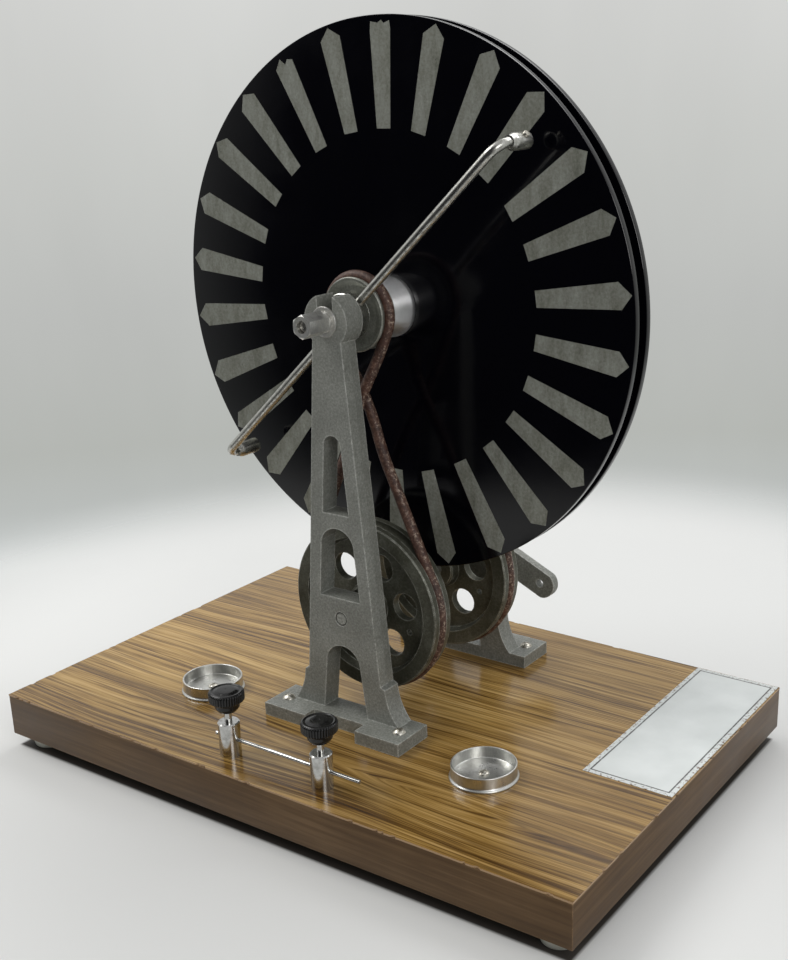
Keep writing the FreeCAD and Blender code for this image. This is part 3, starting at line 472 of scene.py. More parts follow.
lam_colour = blend_colours(spread(lam_patch, 0.35, 0.7, 0.0, 0.35), lam_colour,
                           DARKER_PATCH, "MULTIPLY")
lam_normal = add_node(lam_tree, "ShaderNodeNewGeometry").outputs["Normal"]
lam_up = add_node(lam_tree, "ShaderNodeSeparateXYZ", {0: lam_normal}).outputs["Z"]
lam_colour = blend_colours(spread(lam_up, 0.9, 0.6), lam_colour, PALE_CORE)
smears = noise_at(object_place(lam_tree, (3, 9, 1), (0, 0, 0.5)), 6, 5, 0.6)
feed(lam_shader, lam_colour, spread(smears, 0.3, 0.75, 0.13, 0.26))
bump(lam_shader, fine_bands, 0.02 * MM, 0.4)

CHIP_COUNT_FRONT, CHIP_COUNT_SIDE = 26, 7
CHIP_STEPS, CHIP_DEPTHS = (1, 2, 2, 3, 4), (0.25, 1.0)
EDGE_STEP, CORNER_STEPS = 1.2 * MM, 4
chips = random.Random(5)


def chipped_run(start, end, inward, count):
    """Points along one edge of the laminate, pushed in where a chip is missing."""
    length = (end - start).length
    steps = int(length / EDGE_STEP)
    depths = [0.0] * (steps + 1)
    for _ in range(count):
        first = chips.randrange(CORNER_STEPS, steps - 2 * CORNER_STEPS)
        width = chips.choice(CHIP_STEPS)
        for step in range(first, first + width):
            depths[step] = chips.uniform(*CHIP_DEPTHS) * MM
    return [start.lerp(end, step / steps) + inward * depths[step] for step in range(steps)]


def raise_sheet(shape, points, thickness):
    """Add a flat sheet to a bmesh: an outline of points, pulled out along a vector."""
    face = shape.faces.new([shape.verts.new(point) for point in points])
    raised = bmesh.ops.extrude_face_region(shape, geom=[face])
    raised_verts = [item for item in raised["geom"] if isinstance(item, bmesh.types.BMVert)]
    bmesh.ops.translate(shape, verts=raised_verts, vec=thickness)


laminate_low, laminate_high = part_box("top_laminate")
lam_corners = [Vector((x, y, laminate_low.z)) for x, y in (
    (laminate_low.x, laminate_low.y), (laminate_high.x, laminate_low.y),
    (laminate_high.x, laminate_high.y), (laminate_low.x, laminate_high.y))]
lam_inward = (Vector((0, 1, 0)), Vector((-1, 0, 0)), Vector((0, -1, 0)), Vector((1, 0, 0)))
lam_points = []
for side in range(4):
    chip_count = CHIP_COUNT_FRONT if side == 0 else CHIP_COUNT_SIDE
    lam_points += chipped_run(lam_corners[side], lam_corners[(side + 1) % 4], lam_inward[side],
                              chip_count)
shape = bmesh.new()
raise_sheet(shape, lam_points, (0, 0, laminate_high.z - laminate_low.z))
finish_piece("laminate", shape, laminate_material, "stand", ["top_laminate"])


# Plate: a thin aluminium sheet glued in the board's back right corner, painted silver-white with a
# thin dark frame line. It is bare, and its paint has gone brown in spots along the edges.
PLATE_WIDTH, PLATE_LENGTH, PLATE_THICKNESS, PLATE_GAP = 52 * MM, 146 * MM, 0.35 * MM, 0.8 * MM
plate_high = Vector((laminate_high.x - PLATE_GAP, laminate_high.y - PLATE_GAP,
                     laminate_high.z + PLATE_THICKNESS))
plate_low = Vector((plate_high.x - PLATE_WIDTH, plate_high.y - PLATE_LENGTH, laminate_high.z))
plate_material, plate_tree, plate_shader = new_material("silver_plate_paint", (0.63, 0.66, 0.65),
                                                        roughness=0.45, specular=0.4)
plate_parts = add_node(plate_tree, "ShaderNodeSeparateXYZ", {
    0: add_node(plate_tree, "ShaderNodeTexCoord").outputs["Object"]})


def inside_of(socket, low, high):
    """How far a point is inside two opposite edges."""
    return maths("MINIMUM", maths("SUBTRACT", plate_parts.outputs[socket], low),
                 maths("SUBTRACT", high, plate_parts.outputs[socket]))


from_edge = maths("MINIMUM", inside_of("X", plate_low.x, plate_high.x),
                  inside_of("Y", plate_low.y, plate_high.y))
FRAME_LINE_INSET, FRAME_LINE_HALF = 3.2 * MM, 0.6 * MM
line_distance = maths("ABSOLUTE", maths("SUBTRACT", from_edge, FRAME_LINE_INSET))
frame_line = spread(line_distance, FRAME_LINE_HALF, FRAME_LINE_HALF * 0.4)
plate_noise = noise_at(object_place(plate_tree), 520, 5, 0.7)
WEAR_REACH, WEAR_FULL = 4 * MM, 0.5 * MM
plate_wear = maths("MULTIPLY", spread(plate_noise, 0.52, 0.60),
                   spread(from_edge, WEAR_REACH, WEAR_FULL))
plate_cloud = noise_at(object_place(plate_tree), 40, 3)
plate_colour = ramp(plate_cloud, [(0.3, (0.58, 0.61, 0.60)), (0.7, (0.68, 0.71, 0.70))])
printed_line = maths("MULTIPLY", frame_line,
                     spread(plate_noise, 0.36, 0.46, 0.6, 1.0))
FRAME_LINE_BLACK, RUST_BROWN = (0.035, 0.035, 0.035), (0.12, 0.06, 0.03)
plate_colour = blend_colours(printed_line, plate_colour, FRAME_LINE_BLACK)
plate_colour = blend_colours(plate_wear, plate_colour, RUST_BROWN)
feed(plate_shader, plate_colour, spread(plate_noise, 0.3, 0.7, 0.38, 0.52))
bump(plate_shader, plate_cloud, 0.05 * MM, 0.4)

PLATE_BEVEL = 0.12 * MM
finish_piece("bare_plate", bevelled_box(plate_low, plate_high, PLATE_BEVEL), plate_material, "stand")


# Feet: four tapered round feet of pale grey-green plastic, moulded with a recess, in which one
# screw holds each of them to the board from below.
foot_material, foot_tree, foot_shader = new_material("pale_foot_plastic", (0.42, 0.43, 0.38),
                                                     roughness=0.45)
foot_shader.inputs["Subsurface Weight"].default_value = 0.15
foot_shader.inputs["Subsurface Radius"].default_value = (0.004, 0.004, 0.003)
foot_cloud = noise_at(object_place(foot_tree), 90, 4)
feed(foot_shader, ramp(foot_cloud, [(0.3, (0.34, 0.34, 0.29)), (0.7, (0.47, 0.48, 0.43))]))
bump(foot_shader, noise_at(object_place(foot_tree), 900, 2), 0.04 * MM, 0.4)


def rounded_profile(points, radius, segments=3, closed=False):
    """A profile of (radius, height) points with each of its corners rounded off."""
    corners = [Vector((*point, 0)) for point in points]
    made = [] if closed else [corners[0]]
    last = len(corners)
    for index in range(0 if closed else 1, last if closed else last - 1):
        corner = corners[index]
        before, after = corners[index - 1] - corner, corners[(index + 1) % last] - corner
        reach = min(radius, before.length * 0.45, after.length * 0.45)
        start, end = corner + before.normalized() * reach, corner + after.normalized() * reach
        for step in range(segments + 1):
            share = step / segments
            made.append(start.lerp(corner, share).lerp(corner.lerp(end, share), share))
    if not closed:
        made.append(corners[-1])
    return [(point.x, point.y) for point in made]


def turned_shape(profile, centre, axis, steps=64, closed=True):
    """Spin a profile of (radius, distance along the axis) points round an axis through centre."""
    shape = bmesh.new()
    along = Vector(axis).normalized()
    across = Vector((1, 0, 0)) if abs(along.x) < 0.5 else Vector((0, 0, 1))
    verts = [shape.verts.new(centre + across * radius + along * distance)
             for radius, distance in profile]
    pairs = list(zip(verts, verts[1:]))
    if closed:
        pairs.append((verts[-1], verts[0]))
    edges = [shape.edges.new(pair) for pair in pairs]
    bmesh.ops.spin(shape, geom=verts + edges, cent=centre, axis=along, dvec=(0, 0, 0),
                   angle=math.tau, steps=steps, use_merge=True, use_duplicate=False)
    bmesh.ops.remove_doubles(shape, verts=shape.verts, dist=0.001 * MM)
    return shape


def axis_point(node_name, height):
    """The point at a height on the upright axis of a CAD node."""
    low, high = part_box(node_name)
    return Vector(((low.x + high.x) / 2, (low.y + high.y) / 2, height))


FOOT_SCREW_HOLE, FOOT_BAND, FOOT_TAPER, FOOT_ROUND = 2.2 * MM, 1.2 * MM, 1.5 * MM, 1.0 * MM
RECESS_MOUTH, RECESS_FLOOR, RECESS_DEPTH = 4.5 * MM, 4.2 * MM, 4 * MM
for node_name in ("foot_front_left", "foot_front_right", "foot_back_left", "foot_back_right"):
    low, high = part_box(node_name)
    foot_radius = (high.x - low.x) / 2
    foot_profile = rounded_profile([
        (FOOT_SCREW_HOLE, high.z), (foot_radius, high.z), (foot_radius, high.z - FOOT_BAND),
        (foot_radius - FOOT_TAPER, low.z), (RECESS_MOUTH, low.z), (RECESS_FLOOR, low.z + RECESS_DEPTH),
        (FOOT_SCREW_HOLE, low.z + RECESS_DEPTH)], FOOT_ROUND, 4, closed=True)
    finish_piece(node_name + "_moulding", turned_shape(foot_profile, axis_point(node_name, 0), (0, 0, 1)),
                 foot_material, "stand", [node_name])


# Plated screws: slotted heads of plated steel, dulled and slightly yellow, driven into the board
# through the feet and the castings. The same finish serves every screw.
screw_material, screw_tree, screw_shader = new_material("plated_screw", (0.56, 0.54, 0.48),
                                                        metallic=1.0, roughness=0.3)
screw_cloud = noise_at(object_place(screw_tree), 700, 4, 0.6)
screw_colour = ramp(screw_cloud, [
    (0.3, (0.30, 0.28, 0.22)), (0.55, (0.58, 0.56, 0.50)), (0.8, (0.70, 0.69, 0.65))])
feed(screw_shader, screw_colour, spread(screw_cloud, 0.3, 0.7, 0.42, 0.24))


def dressed_cad(node_name, material, body, edge=0.0, segments=2, smooth_angle=28):
    """The CAD piece itself, joined up, with its sharp edges rubbed down."""
    piece = finish_piece(node_name + "_skin", merged_cad(node_name), material, body, [node_name],
                         smooth_angle)
    if edge:
        soften_edges(piece, edge, segments, smooth_angle)


SCREW_EDGE = 0.12 * MM
for node_name in ("foot_screws", "upright_screws"):
    dressed_cad(node_name, screw_material, "stand", SCREW_EDGE)


# Uprights: two sand-cast A-frames in grey hammered paint, screwed to the board. The sand's grain
# shows through the paint, and the outer edges are painted a lighter grey, part rubbed paint and part
# painted highlight.
casting_material, _, cast_shader = new_material(
    "hammered_grey", (0.25, 0.257, 0.24), metallic=0.1, roughness=0.46)


def build_cast_grain():
    """Group: sand-cast skin under paint, as tone patches, fine specks and a height."""
    tree = bpy.data.node_groups.new("cast_grain", "ShaderNodeTree")
    socket = tree.interface.new_socket("Grain", in_out="INPUT", socket_type="NodeSocketFloat")
    socket.default_value = 900
    for name in ("Patches", "Specks", "Height"):
        tree.interface.new_socket(name, in_out="OUTPUT", socket_type="NodeSocketFloat")
    given = tree.nodes.new("NodeGroupInput")
    place = add_node(tree, "ShaderNodeTexCoord").outputs["Object"]
    patches = noise_at(place, maths("MULTIPLY", given.outputs["Grain"], 0.06), 4, 0.6)
    specks = noise_at(place, given.outputs["Grain"], 3, 0.7)
    cells = add_node(tree, "ShaderNodeTexVoronoi", {
        "Vector": place, "Scale": maths("MULTIPLY", given.outputs["Grain"], 0.55)},
        feature="SMOOTH_F1").outputs["Distance"]
    rise = weighted((cells, 0.6), (specks, 0.7))
    add_node(tree, "NodeGroupOutput", {"Patches": patches, "Specks": specks, "Height": rise})
    return tree


cast_grain = build_cast_grain()


def cast_look(shader, grain, patch_share, tones, lit_and_rubbed_edges, rough, relief):
    """A cast skin: blotches and specks of tone, paler edges that are part rubbed and part painted
    highlight, and a grainy surface.
    """
    patches, specks, height = use_group(shader.id_data, cast_grain, Grain=grain)
    tone = weighted((patches, patch_share), (specks, 1 - patch_share))
    colour = pale_rubbed_and_lit_edges(ramp(tone, tones), *lit_and_rubbed_edges)
    feed(shader, colour, spread(specks, 0.3, 0.7, *rough))
    bump(shader, height, *relief)


cast_look(cast_shader, grain=820, patch_share=0.3, tones=[
    (0.34, (0.138, 0.142, 0.124)), (0.5, (0.205, 0.211, 0.190)), (0.66, (0.31, 0.318, 0.288))],
    lit_and_rubbed_edges=(1.2 * MM, 0.9, 400, (0.62, 0.63, 0.59)), rough=(0.55, 0.38), relief=(0.22 * MM, 0.9))
CASTING_EDGE = 0.55 * MM
for node_name in ("front_upright", "back_upright"):
    dressed_cad(node_name, casting_material, "stand", CASTING_EDGE, 3)


# Spindle, nuts and washers: a fixed bar of turned steel, clamped in the castings' slotted heads by
# zinc-plated nuts. The bare steel has a brown-grey tarnish.
steel_material, _, steel_shader = new_material(
    "turned_steel", (0.55, 0.54, 0.51), metallic=1.0, roughness=0.3)


def steel_look(shader, dark, bright, scale=260, low_rough=0.22, high_rough=0.42):
    """Tarnish clouds and fine scratches over a bare metal."""
    tree = shader.id_data
    cloud = noise_at(object_place(tree), scale, 5, 0.62, 0.4)
    scratches = noise_at(object_place(tree, (60, 3000, 60), (0.2, 0.1, 0.4)), 1.0, 2)
    tone = weighted((cloud, 0.75), (scratches, 0.25))
    feed(shader, ramp(tone, [(0.32, dark), (0.62, bright)]),
         spread(tone, 0.35, 0.65, high_rough, low_rough))
    bump(shader, scratches, 0.01 * MM, 0.3)


steel_look(steel_shader, (0.16, 0.15, 0.13), (0.50, 0.49, 0.46))
zinc_material, _, zinc_shader = new_material("zinc_plated_nut", (0.66, 0.66, 0.63), 1.0, 0.25)
steel_look(zinc_shader, (0.50, 0.49, 0.45), (0.86, 0.86, 0.84), 340, 0.30, 0.48)
TURNED_EDGE, NUT_EDGE = 0.15 * MM, 0.25 * MM
for node_name, body in (("spindle", "stand"), ("disc_spacer", "stand"), ("front_shaft_collar", "drive"),
                        ("back_shaft_collar", "drive")):
    dressed_cad(node_name, steel_material, body, TURNED_EDGE)
for node_name, body in (("spindle_washers", "stand"), ("spring_washers", "stand"),
                        ("front_spindle_nut", "stand"), ("back_spindle_nut", "stand"),
                        ("crank_nut", "drive")):
    dressed_cad(node_name, zinc_material, body, NUT_EDGE, 3)


# Drive shaft: a turned steel bar that runs in both castings. Its front end is flush with the
# casting and was painted over with it, and a dark ring just inside its rim is painted shade for the gap
# round it.
shaft_material, shaft_tree, shaft_shader = new_material("painted_end_shaft", (0.4, 0.4, 0.38), 1.0, 0.3)
shaft_low, shaft_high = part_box("drive_shaft")
shaft_radius = (shaft_high.z - shaft_low.z) / 2
PAINTED_LENGTH, RING_WIDTH, RING_INSET = 0.4 * MM, 0.9 * MM, 0.5 * MM
shaft_place = add_node(shaft_tree, "ShaderNodeTexCoord").outputs["Object"]
shaft_y = add_node(shaft_tree, "ShaderNodeSeparateXYZ", {0: shaft_place}).outputs["Y"]
bare = spread(shaft_y, shaft_low.y + PAINTED_LENGTH * 0.5, shaft_low.y + PAINTED_LENGTH)
shaft_axis = ((shaft_low.x + shaft_high.x) / 2, 0, (shaft_low.z + shaft_high.z) / 2)
from_axis = add_node(shaft_tree, "ShaderNodeVectorMath", {
    0: add_node(shaft_tree, "ShaderNodeVectorMath", {0: shaft_place, 1: (1, 0, 1)},
                operation="MULTIPLY").outputs["Vector"], 1: shaft_axis},
    operation="DISTANCE").outputs["Value"]
# A dark ring just inside the end's rim: painted shade standing for the gap between the shaft and the
# casting.
ring_shade_mask = spread(from_axis, shaft_radius - RING_WIDTH, shaft_radius - RING_INSET)
shaft_patches, shaft_specks, shaft_height = use_group(shaft_tree, cast_grain, Grain=760)
shaft_paint = ramp(shaft_specks, [
    (0.34, (0.135, 0.140, 0.122)), (0.5, (0.232, 0.238, 0.215)), (0.66, (0.36, 0.368, 0.335))])
PAINTED_RING_SHADE, BARE_STEEL, SHAFT_EDGE = (0.045, 0.045, 0.04), (0.42, 0.41, 0.38), 0.2 * MM
shaft_paint = blend_colours(ring_shade_mask, shaft_paint, PAINTED_RING_SHADE)
feed(shaft_shader, blend_colours(bare, shaft_paint, BARE_STEEL),
     spread(shaft_patches, 0.3, 0.7, 0.5, 0.3))
shaft_tree.links.new(maths("MULTIPLY", bare, 0.9), shaft_shader.inputs["Metallic"])
bump(shaft_shader, shaft_height, 0.15 * MM, 0.7)
dressed_cad("drive_shaft", shaft_material, "drive", SHAFT_EDGE)


# Discs: two 300 mm sheets of glossy black plastic, bored for the hubs, with their rims turned and
# polished. Years of dusting have left faint smears and specks.
DISC_BLACK, DUST_GREY = (0.0008, 0.0008, 0.002), (0.04, 0.04, 0.04)
disc_material, disc_tree, disc_shader = new_material("black_disc_sheet", DISC_BLACK, roughness=0.1,
                                                     specular=0.35)
disc_smear = noise_at(object_place(disc_tree, (1, 1, 1)), 28, 5, 0.6, 0.3)
disc_dust = noise_at(object_place(disc_tree), 1500, 2, 0.7)
dust_spots = spread(disc_dust, 0.70, 0.78)
disc_colour = blend_colours(maths("MULTIPLY", dust_spots, 0.25), DISC_BLACK,
                            DUST_GREY)
feed(disc_shader, disc_colour, spread(disc_smear, 0.3, 0.75, 0.07, 0.2))

front_disc_low, front_disc_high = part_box("front_disc")
back_disc_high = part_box("back_disc")[1]
disc_radius = (front_disc_high.x - front_disc_low.x) / 2
spindle_centre = Vector(((front_disc_low.x + front_disc_high.x) / 2,
                         (front_disc_low.y + back_disc_high.y) / 2,
                         (front_disc_low.z + front_disc_high.z) / 2))
disc_centre = Vector((spindle_centre.x, 0, spindle_centre.z))
DISC_STEPS, DISC_BORE, RIM_ROUND = 256, 10 * MM, 0.5 * MM
for end_name in ("front", "back"):
    low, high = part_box(end_name + "_disc")
    disc_profile = rounded_profile([
        (DISC_BORE, low.y), (disc_radius, low.y), (disc_radius, high.y), (DISC_BORE, high.y)],
        RIM_ROUND, 3, closed=True)
    finish_piece(end_name + "_disc_sheet", turned_shape(disc_profile, disc_centre, (0, 1, 0), DISC_STEPS),
                 disc_material, end_name + "_wheel", [end_name + "_disc"])


# Sectors: 26 paddles of dull metal foil stuck on each disc by hand, so that no two lie quite
# alike. Brushing has scratched them, and a few tips are torn.
foil_material, foil_tree, foil_shader = new_material("dull_foil", (0.33, 0.34, 0.31),
                                                     metallic=0.55, roughness=0.42)
foil_cloud = noise_at(object_place(foil_tree, (1, 1, 0.35), (0, 0.6, 0)), 160, 5, 0.68)
foil_speck = noise_at(object_place(foil_tree), 620, 4, 0.7)
foil_tone = weighted((foil_cloud, 0.6), (foil_speck, 0.4))
foil_colour = ramp(foil_tone, [
    (0.30, (0.13, 0.135, 0.105)), (0.45, (0.255, 0.262, 0.222)), (0.58, (0.36, 0.372, 0.33)),
    (0.72, (0.56, 0.575, 0.53))])
foil_pits = spread(noise_at(object_place(foil_tree), 340, 3, 0.75), 0.70, 0.76)
PIT_BLACK = (0.05, 0.05, 0.045)
foil_colour = blend_colours(foil_pits, foil_colour, PIT_BLACK)
feed(foil_shader, foil_colour, spread(foil_tone, 0.3, 0.7, 0.55, 0.35))
bump(foil_shader, foil_tone, 0.05 * MM, 0.5)

SECTOR_COUNT = 26
ROOT_RADIUS, SHOULDER_RADIUS, TIP_RADIUS = 93.4 * MM, 142.2 * MM, 148.2 * MM
ROOT_HALF, SHOULDER_HALF = 4.4 * MM, 6.7 * MM
FOIL_THICKNESS, LARGEST_LEAN = 0.15 * MM, 0.35
paste = random.Random(11)


def sector_points(number, marked):
    """Outline of one foil in its own plane: (across, outwards) from the disc's centre."""
    def slip(amount):
        return paste.uniform(-amount, amount) * MM

    root_left, root_right = -ROOT_HALF + slip(0.25), ROOT_HALF + slip(0.25)
    wide_left, wide_right = -SHOULDER_HALF + slip(0.3), SHOULDER_HALF + slip(0.3)
    root, shoulder, tip = ROOT_RADIUS + slip(0.5), SHOULDER_RADIUS + slip(0.7), TIP_RADIUS + slip(0.4)
    outline = [(root_left, root + slip(0.35)), (root_right, root + slip(0.35)),
               (wide_right, shoulder + slip(0.5))]
    if marked and number == 0:
        outline += [(wide_right - 0.4 * MM, tip - 1.2 * MM), (2.6 * MM, tip - 2.4 * MM),
                    (1.0 * MM, tip - 0.9 * MM), (-1.4 * MM, tip - 2.2 * MM),
                    (wide_left + 0.5 * MM, tip - 1.4 * MM)]
    elif marked and number == SECTOR_COUNT - 2:
        outline += [(3.4 * MM, tip - 3.6 * MM), (0.9 * MM, tip - 5.4 * MM), (-1.3 * MM, tip - 1.2 * MM)]
    else:
        outline += [(slip(0.5), tip)]
    outline += [(wide_left, shoulder + slip(0.5))]
    return outline


for end_name, side in (("front", -1), ("back", 1)):
    low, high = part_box(end_name + "_sectors")
    inner_y = high.y if side < 0 else low.y
    shape = bmesh.new()
    for number in range(SECTOR_COUNT):
        outline = sector_points(number, side < 0)
        lean = (math.tau * number / SECTOR_COUNT
                + math.radians(paste.uniform(-LARGEST_LEAN, LARGEST_LEAN)))
        foil_points = [
            (spindle_centre.x + across * math.cos(lean) + outwards * math.sin(lean), inner_y,
             spindle_centre.z - across * math.sin(lean) + outwards * math.cos(lean))
            for across, outwards in outline]
        raise_sheet(shape, foil_points, (0, side * FOIL_THICKNESS, 0))
    finish_piece(end_name + "_foil_sectors", shape, foil_material, end_name + "_wheel",
                 [end_name + "_sectors"])


# Hubs, clamp rings and small pulleys: turned from bright aluminium, except the pulleys, whose alloy
# has gone dull. The tool has left fine rings, and light catches the cones in one long streak.
aluminium_material, alu_tree, alu_shader = new_material("bright_turned_aluminium", (0.78, 0.78, 0.79),
                                                        metallic=1.0, roughness=0.2)
alu_shader.inputs["Anisotropic"].default_value = 0.6


def build_lathe_rings():
    """Group: fine tool rings round an axis along Y through a given X and Z."""
    tree = bpy.data.node_groups.new("lathe_rings", "ShaderNodeTree")
    for name, default in (("Centre X", 0.0), ("Centre Z", 0.0), ("Pitch", 9000.0)):
        socket = tree.interface.new_socket(name, in_out="INPUT", socket_type="NodeSocketFloat")
        socket.default_value = default
    tree.interface.new_socket("Rings", in_out="OUTPUT", socket_type="NodeSocketFloat")
    given = tree.nodes.new("NodeGroupInput")
    place = add_node(tree, "ShaderNodeTexCoord").outputs["Object"]
    parts = add_node(tree, "ShaderNodeSeparateXYZ", {0: place})
    offset_x = maths("SUBTRACT", parts.outputs["X"], given.outputs["Centre X"])
    offset_z = maths("SUBTRACT", parts.outputs["Z"], given.outputs["Centre Z"])
    around = add_node(tree, "ShaderNodeCombineXYZ", {"X": offset_x, "Z": offset_z})
    radius = add_node(tree, "ShaderNodeVectorMath", {0: around.outputs[0]}, operation="LENGTH")
    reach = add_node(tree, "ShaderNodeCombineXYZ", {
        "X": radius.outputs["Value"], "Y": parts.outputs["Y"]})
    rings = noise_at(reach.outputs[0], given.outputs["Pitch"], 3, 0.6)
    add_node(tree, "NodeGroupOutput", {"Rings": rings})
    return tree


lathe_rings = build_lathe_rings()


alu_rings = use_group(alu_tree, lathe_rings, Centre_X=spindle_centre.x, Centre_Z=spindle_centre.z,
                      Pitch=4200)["Rings"]
alu_cloud = noise_at(object_place(alu_tree), 150, 4, 0.6)
feed(alu_shader, ramp(alu_cloud, [(0.25, (0.80, 0.80, 0.80)), (0.6, (0.94, 0.94, 0.95))]),
     spread(alu_rings, 0.3, 0.7, 0.28, 0.44))
bump(alu_shader, alu_rings, 0.05 * MM)

# The pulleys' edges get a bright thin line, part rubbed metal and part painted highlight.
pulley_material, _, pulley_shader = new_material(
    "dull_pulley_alloy", (0.2, 0.205, 0.18), metallic=0.55, roughness=0.42)
cast_look(pulley_shader, grain=900, patch_share=0.5, tones=[
    (0.34, (0.115, 0.120, 0.098)), (0.5, (0.205, 0.212, 0.182)), (0.66, (0.32, 0.33, 0.29))],
    lit_and_rubbed_edges=(0.5 * MM, 1.0, 150, (0.74, 0.75, 0.72)), rough=(0.48, 0.32), relief=(0.07 * MM, 0.6))


def spindle_profile(side, points):
    """Profile points (radius, distance from the mid-plane) in millimetres, on one side."""
    return [(radius * MM, side * distance * MM) for radius, distance in points]


TURNING_STEPS = 128
HUB_BORE, HUB_SEAT, FLANGE_RADIUS, CONE_TIP, TAIL_RADIUS = 7, 10, 17, 11.5, 9
HUB_START, DISC_FACE, FLANGE_FACE, CONE_END, TAIL_END = 2, 8, 10.6, 29.5, 41.5
PULLEY_RADIUS, PULLEY_MIDDLE, GROOVE_RADIUS = 20, 35.5, 3.5
RECESS_OUTER, RECESS_INNER, RECESS_FACE = 15.4, 10.6, 40.1
HUB_ROUND, PULLEY_ROUND, RING_EDGE = 0.5 * MM, 0.3 * MM, 0.2 * MM
hub_outline = [(HUB_BORE, HUB_START), (HUB_SEAT, HUB_START), (HUB_SEAT, DISC_FACE),
               (FLANGE_RADIUS, DISC_FACE), (FLANGE_RADIUS, FLANGE_FACE), (CONE_TIP, CONE_END),
               (TAIL_RADIUS, CONE_END), (TAIL_RADIUS, TAIL_END), (HUB_BORE, TAIL_END)]
groove = [(PULLEY_RADIUS - GROOVE_RADIUS * math.cos(math.radians(angle)),
           PULLEY_MIDDLE + GROOVE_RADIUS * math.sin(math.radians(angle)))
          for angle in range(-84, 85, 12)]
pulley_near = [(TAIL_RADIUS, CONE_END), (PULLEY_RADIUS - 1.4, CONE_END), (PULLEY_RADIUS, CONE_END + 0.8)]
pulley_far = [(PULLEY_RADIUS, TAIL_END - 0.8), (PULLEY_RADIUS - 0.4, TAIL_END),
              (PULLEY_RADIUS - 1.8, TAIL_END), (RECESS_OUTER, RECESS_FACE), (RECESS_INNER, RECESS_FACE),
              (RECESS_INNER - 0.4, TAIL_END), (TAIL_RADIUS, TAIL_END)]
for end_name, side in (("front", -1), ("back", 1)):
    wheel = end_name + "_wheel"
    hub_profile = rounded_profile(spindle_profile(side, hub_outline), HUB_ROUND, 3, closed=True)
    finish_piece(end_name + "_hub_cone",
                 turned_shape(hub_profile, spindle_centre, (0, 1, 0), TURNING_STEPS),
                 aluminium_material, wheel, [end_name + "_hub"])
    dressed_cad(end_name + "_disc_ring", aluminium_material, wheel, RING_EDGE)
    pulley_profile = (rounded_profile(spindle_profile(side, pulley_near), PULLEY_ROUND, 2)
                      + spindle_profile(side, groove)
                      + rounded_profile(spindle_profile(side, pulley_far), PULLEY_ROUND, 2))
    finish_piece(end_name + "_small_pulley_turning",
                 turned_shape(pulley_profile, spindle_centre, (0, 1, 0), TURNING_STEPS),
                 pulley_material, wheel, [end_name + "_small_pulley"])


# Bushes: a plain brass tube in the tail of each hub, pressed in, which lets the wheel run on the
# fixed spindle. The collars and the hubs hide it.
BUSH_EDGE = 0.1 * MM
brass_material, _, brass_shader = new_material("bush_brass", (0.62, 0.46, 0.2), 1.0, 0.3)
steel_look(brass_shader, (0.35, 0.24, 0.09), (0.68, 0.52, 0.25))
for end_name in ("front", "back"):
    dressed_cad(end_name + "_bush", brass_material, end_name + "_wheel", BUSH_EDGE)


# Neutralisers: nickel-plated rods bent at the ends, with turned sockets that would hold the wire
# brushes. The plating has gone grey and is finely scratched.
COLLAR_EDGE, HOLDER_EDGE, ROD_SMOOTH = 0.2 * MM, 0.25 * MM, 50
nickel_material, _, nickel_shader = new_material(
    "dull_nickel", (0.5, 0.5, 0.47), metallic=1.0, roughness=0.3)
steel_look(nickel_shader, (0.26, 0.255, 0.23), (0.60, 0.60, 0.57), 420, 0.2, 0.4)
for end_name in ("front", "back"):
    body = end_name + "_neutraliser"
    dressed_cad(end_name + "_neutraliser_collar", nickel_material, body, COLLAR_EDGE)
    for arm in ("_upper_arm", "_lower_arm"):
        dressed_cad(end_name + arm, nickel_material, body, smooth_angle=ROD_SMOOTH)
    dressed_cad(end_name + "_brush_holders", nickel_material, body, HOLDER_EDGE, 3)
    dressed_cad(end_name + "_holder_screws", screw_material, body, SCREW_EDGE)


# Large pulleys: iron castings with a dark olive skin, six holes in the web and a boss that a grub
# screw holds on the shaft. Their edges are painted bright, part rubbed iron and part painted highlight.
iron_material, _, iron_shader = new_material(
    "olive_iron_casting", (0.10, 0.10, 0.08), metallic=0.5, roughness=0.45)
cast_look(iron_shader, grain=800, patch_share=0.6, tones=[
    (0.32, (0.038, 0.037, 0.024)), (0.5, (0.082, 0.083, 0.062)), (0.68, (0.160, 0.165, 0.135))],
    lit_and_rubbed_edges=(1.0 * MM, 1.0, 220, (0.46, 0.47, 0.42)), rough=(0.52, 0.36), relief=(0.12 * MM, 0.6))
LARGE_PULLEY_EDGE = 0.45 * MM
for node_name in ("front_large_pulley", "back_large_pulley"):
    dressed_cad(node_name, iron_material, "drive", LARGE_PULLEY_EDGE, 3)
dressed_cad("pulley_grub_screws", screw_material, "drive")


# Crank: a steel boss and a flat steel arm, painted like the castings and held on the drive shaft by
# a nut. The arm has a tapped hole for the handle.
CRANK_EDGE = 0.7 * MM
for node_name in ("crank_boss", "crank_arm"):
    dressed_cad(node_name, casting_material, "drive", CRANK_EDGE, 3)


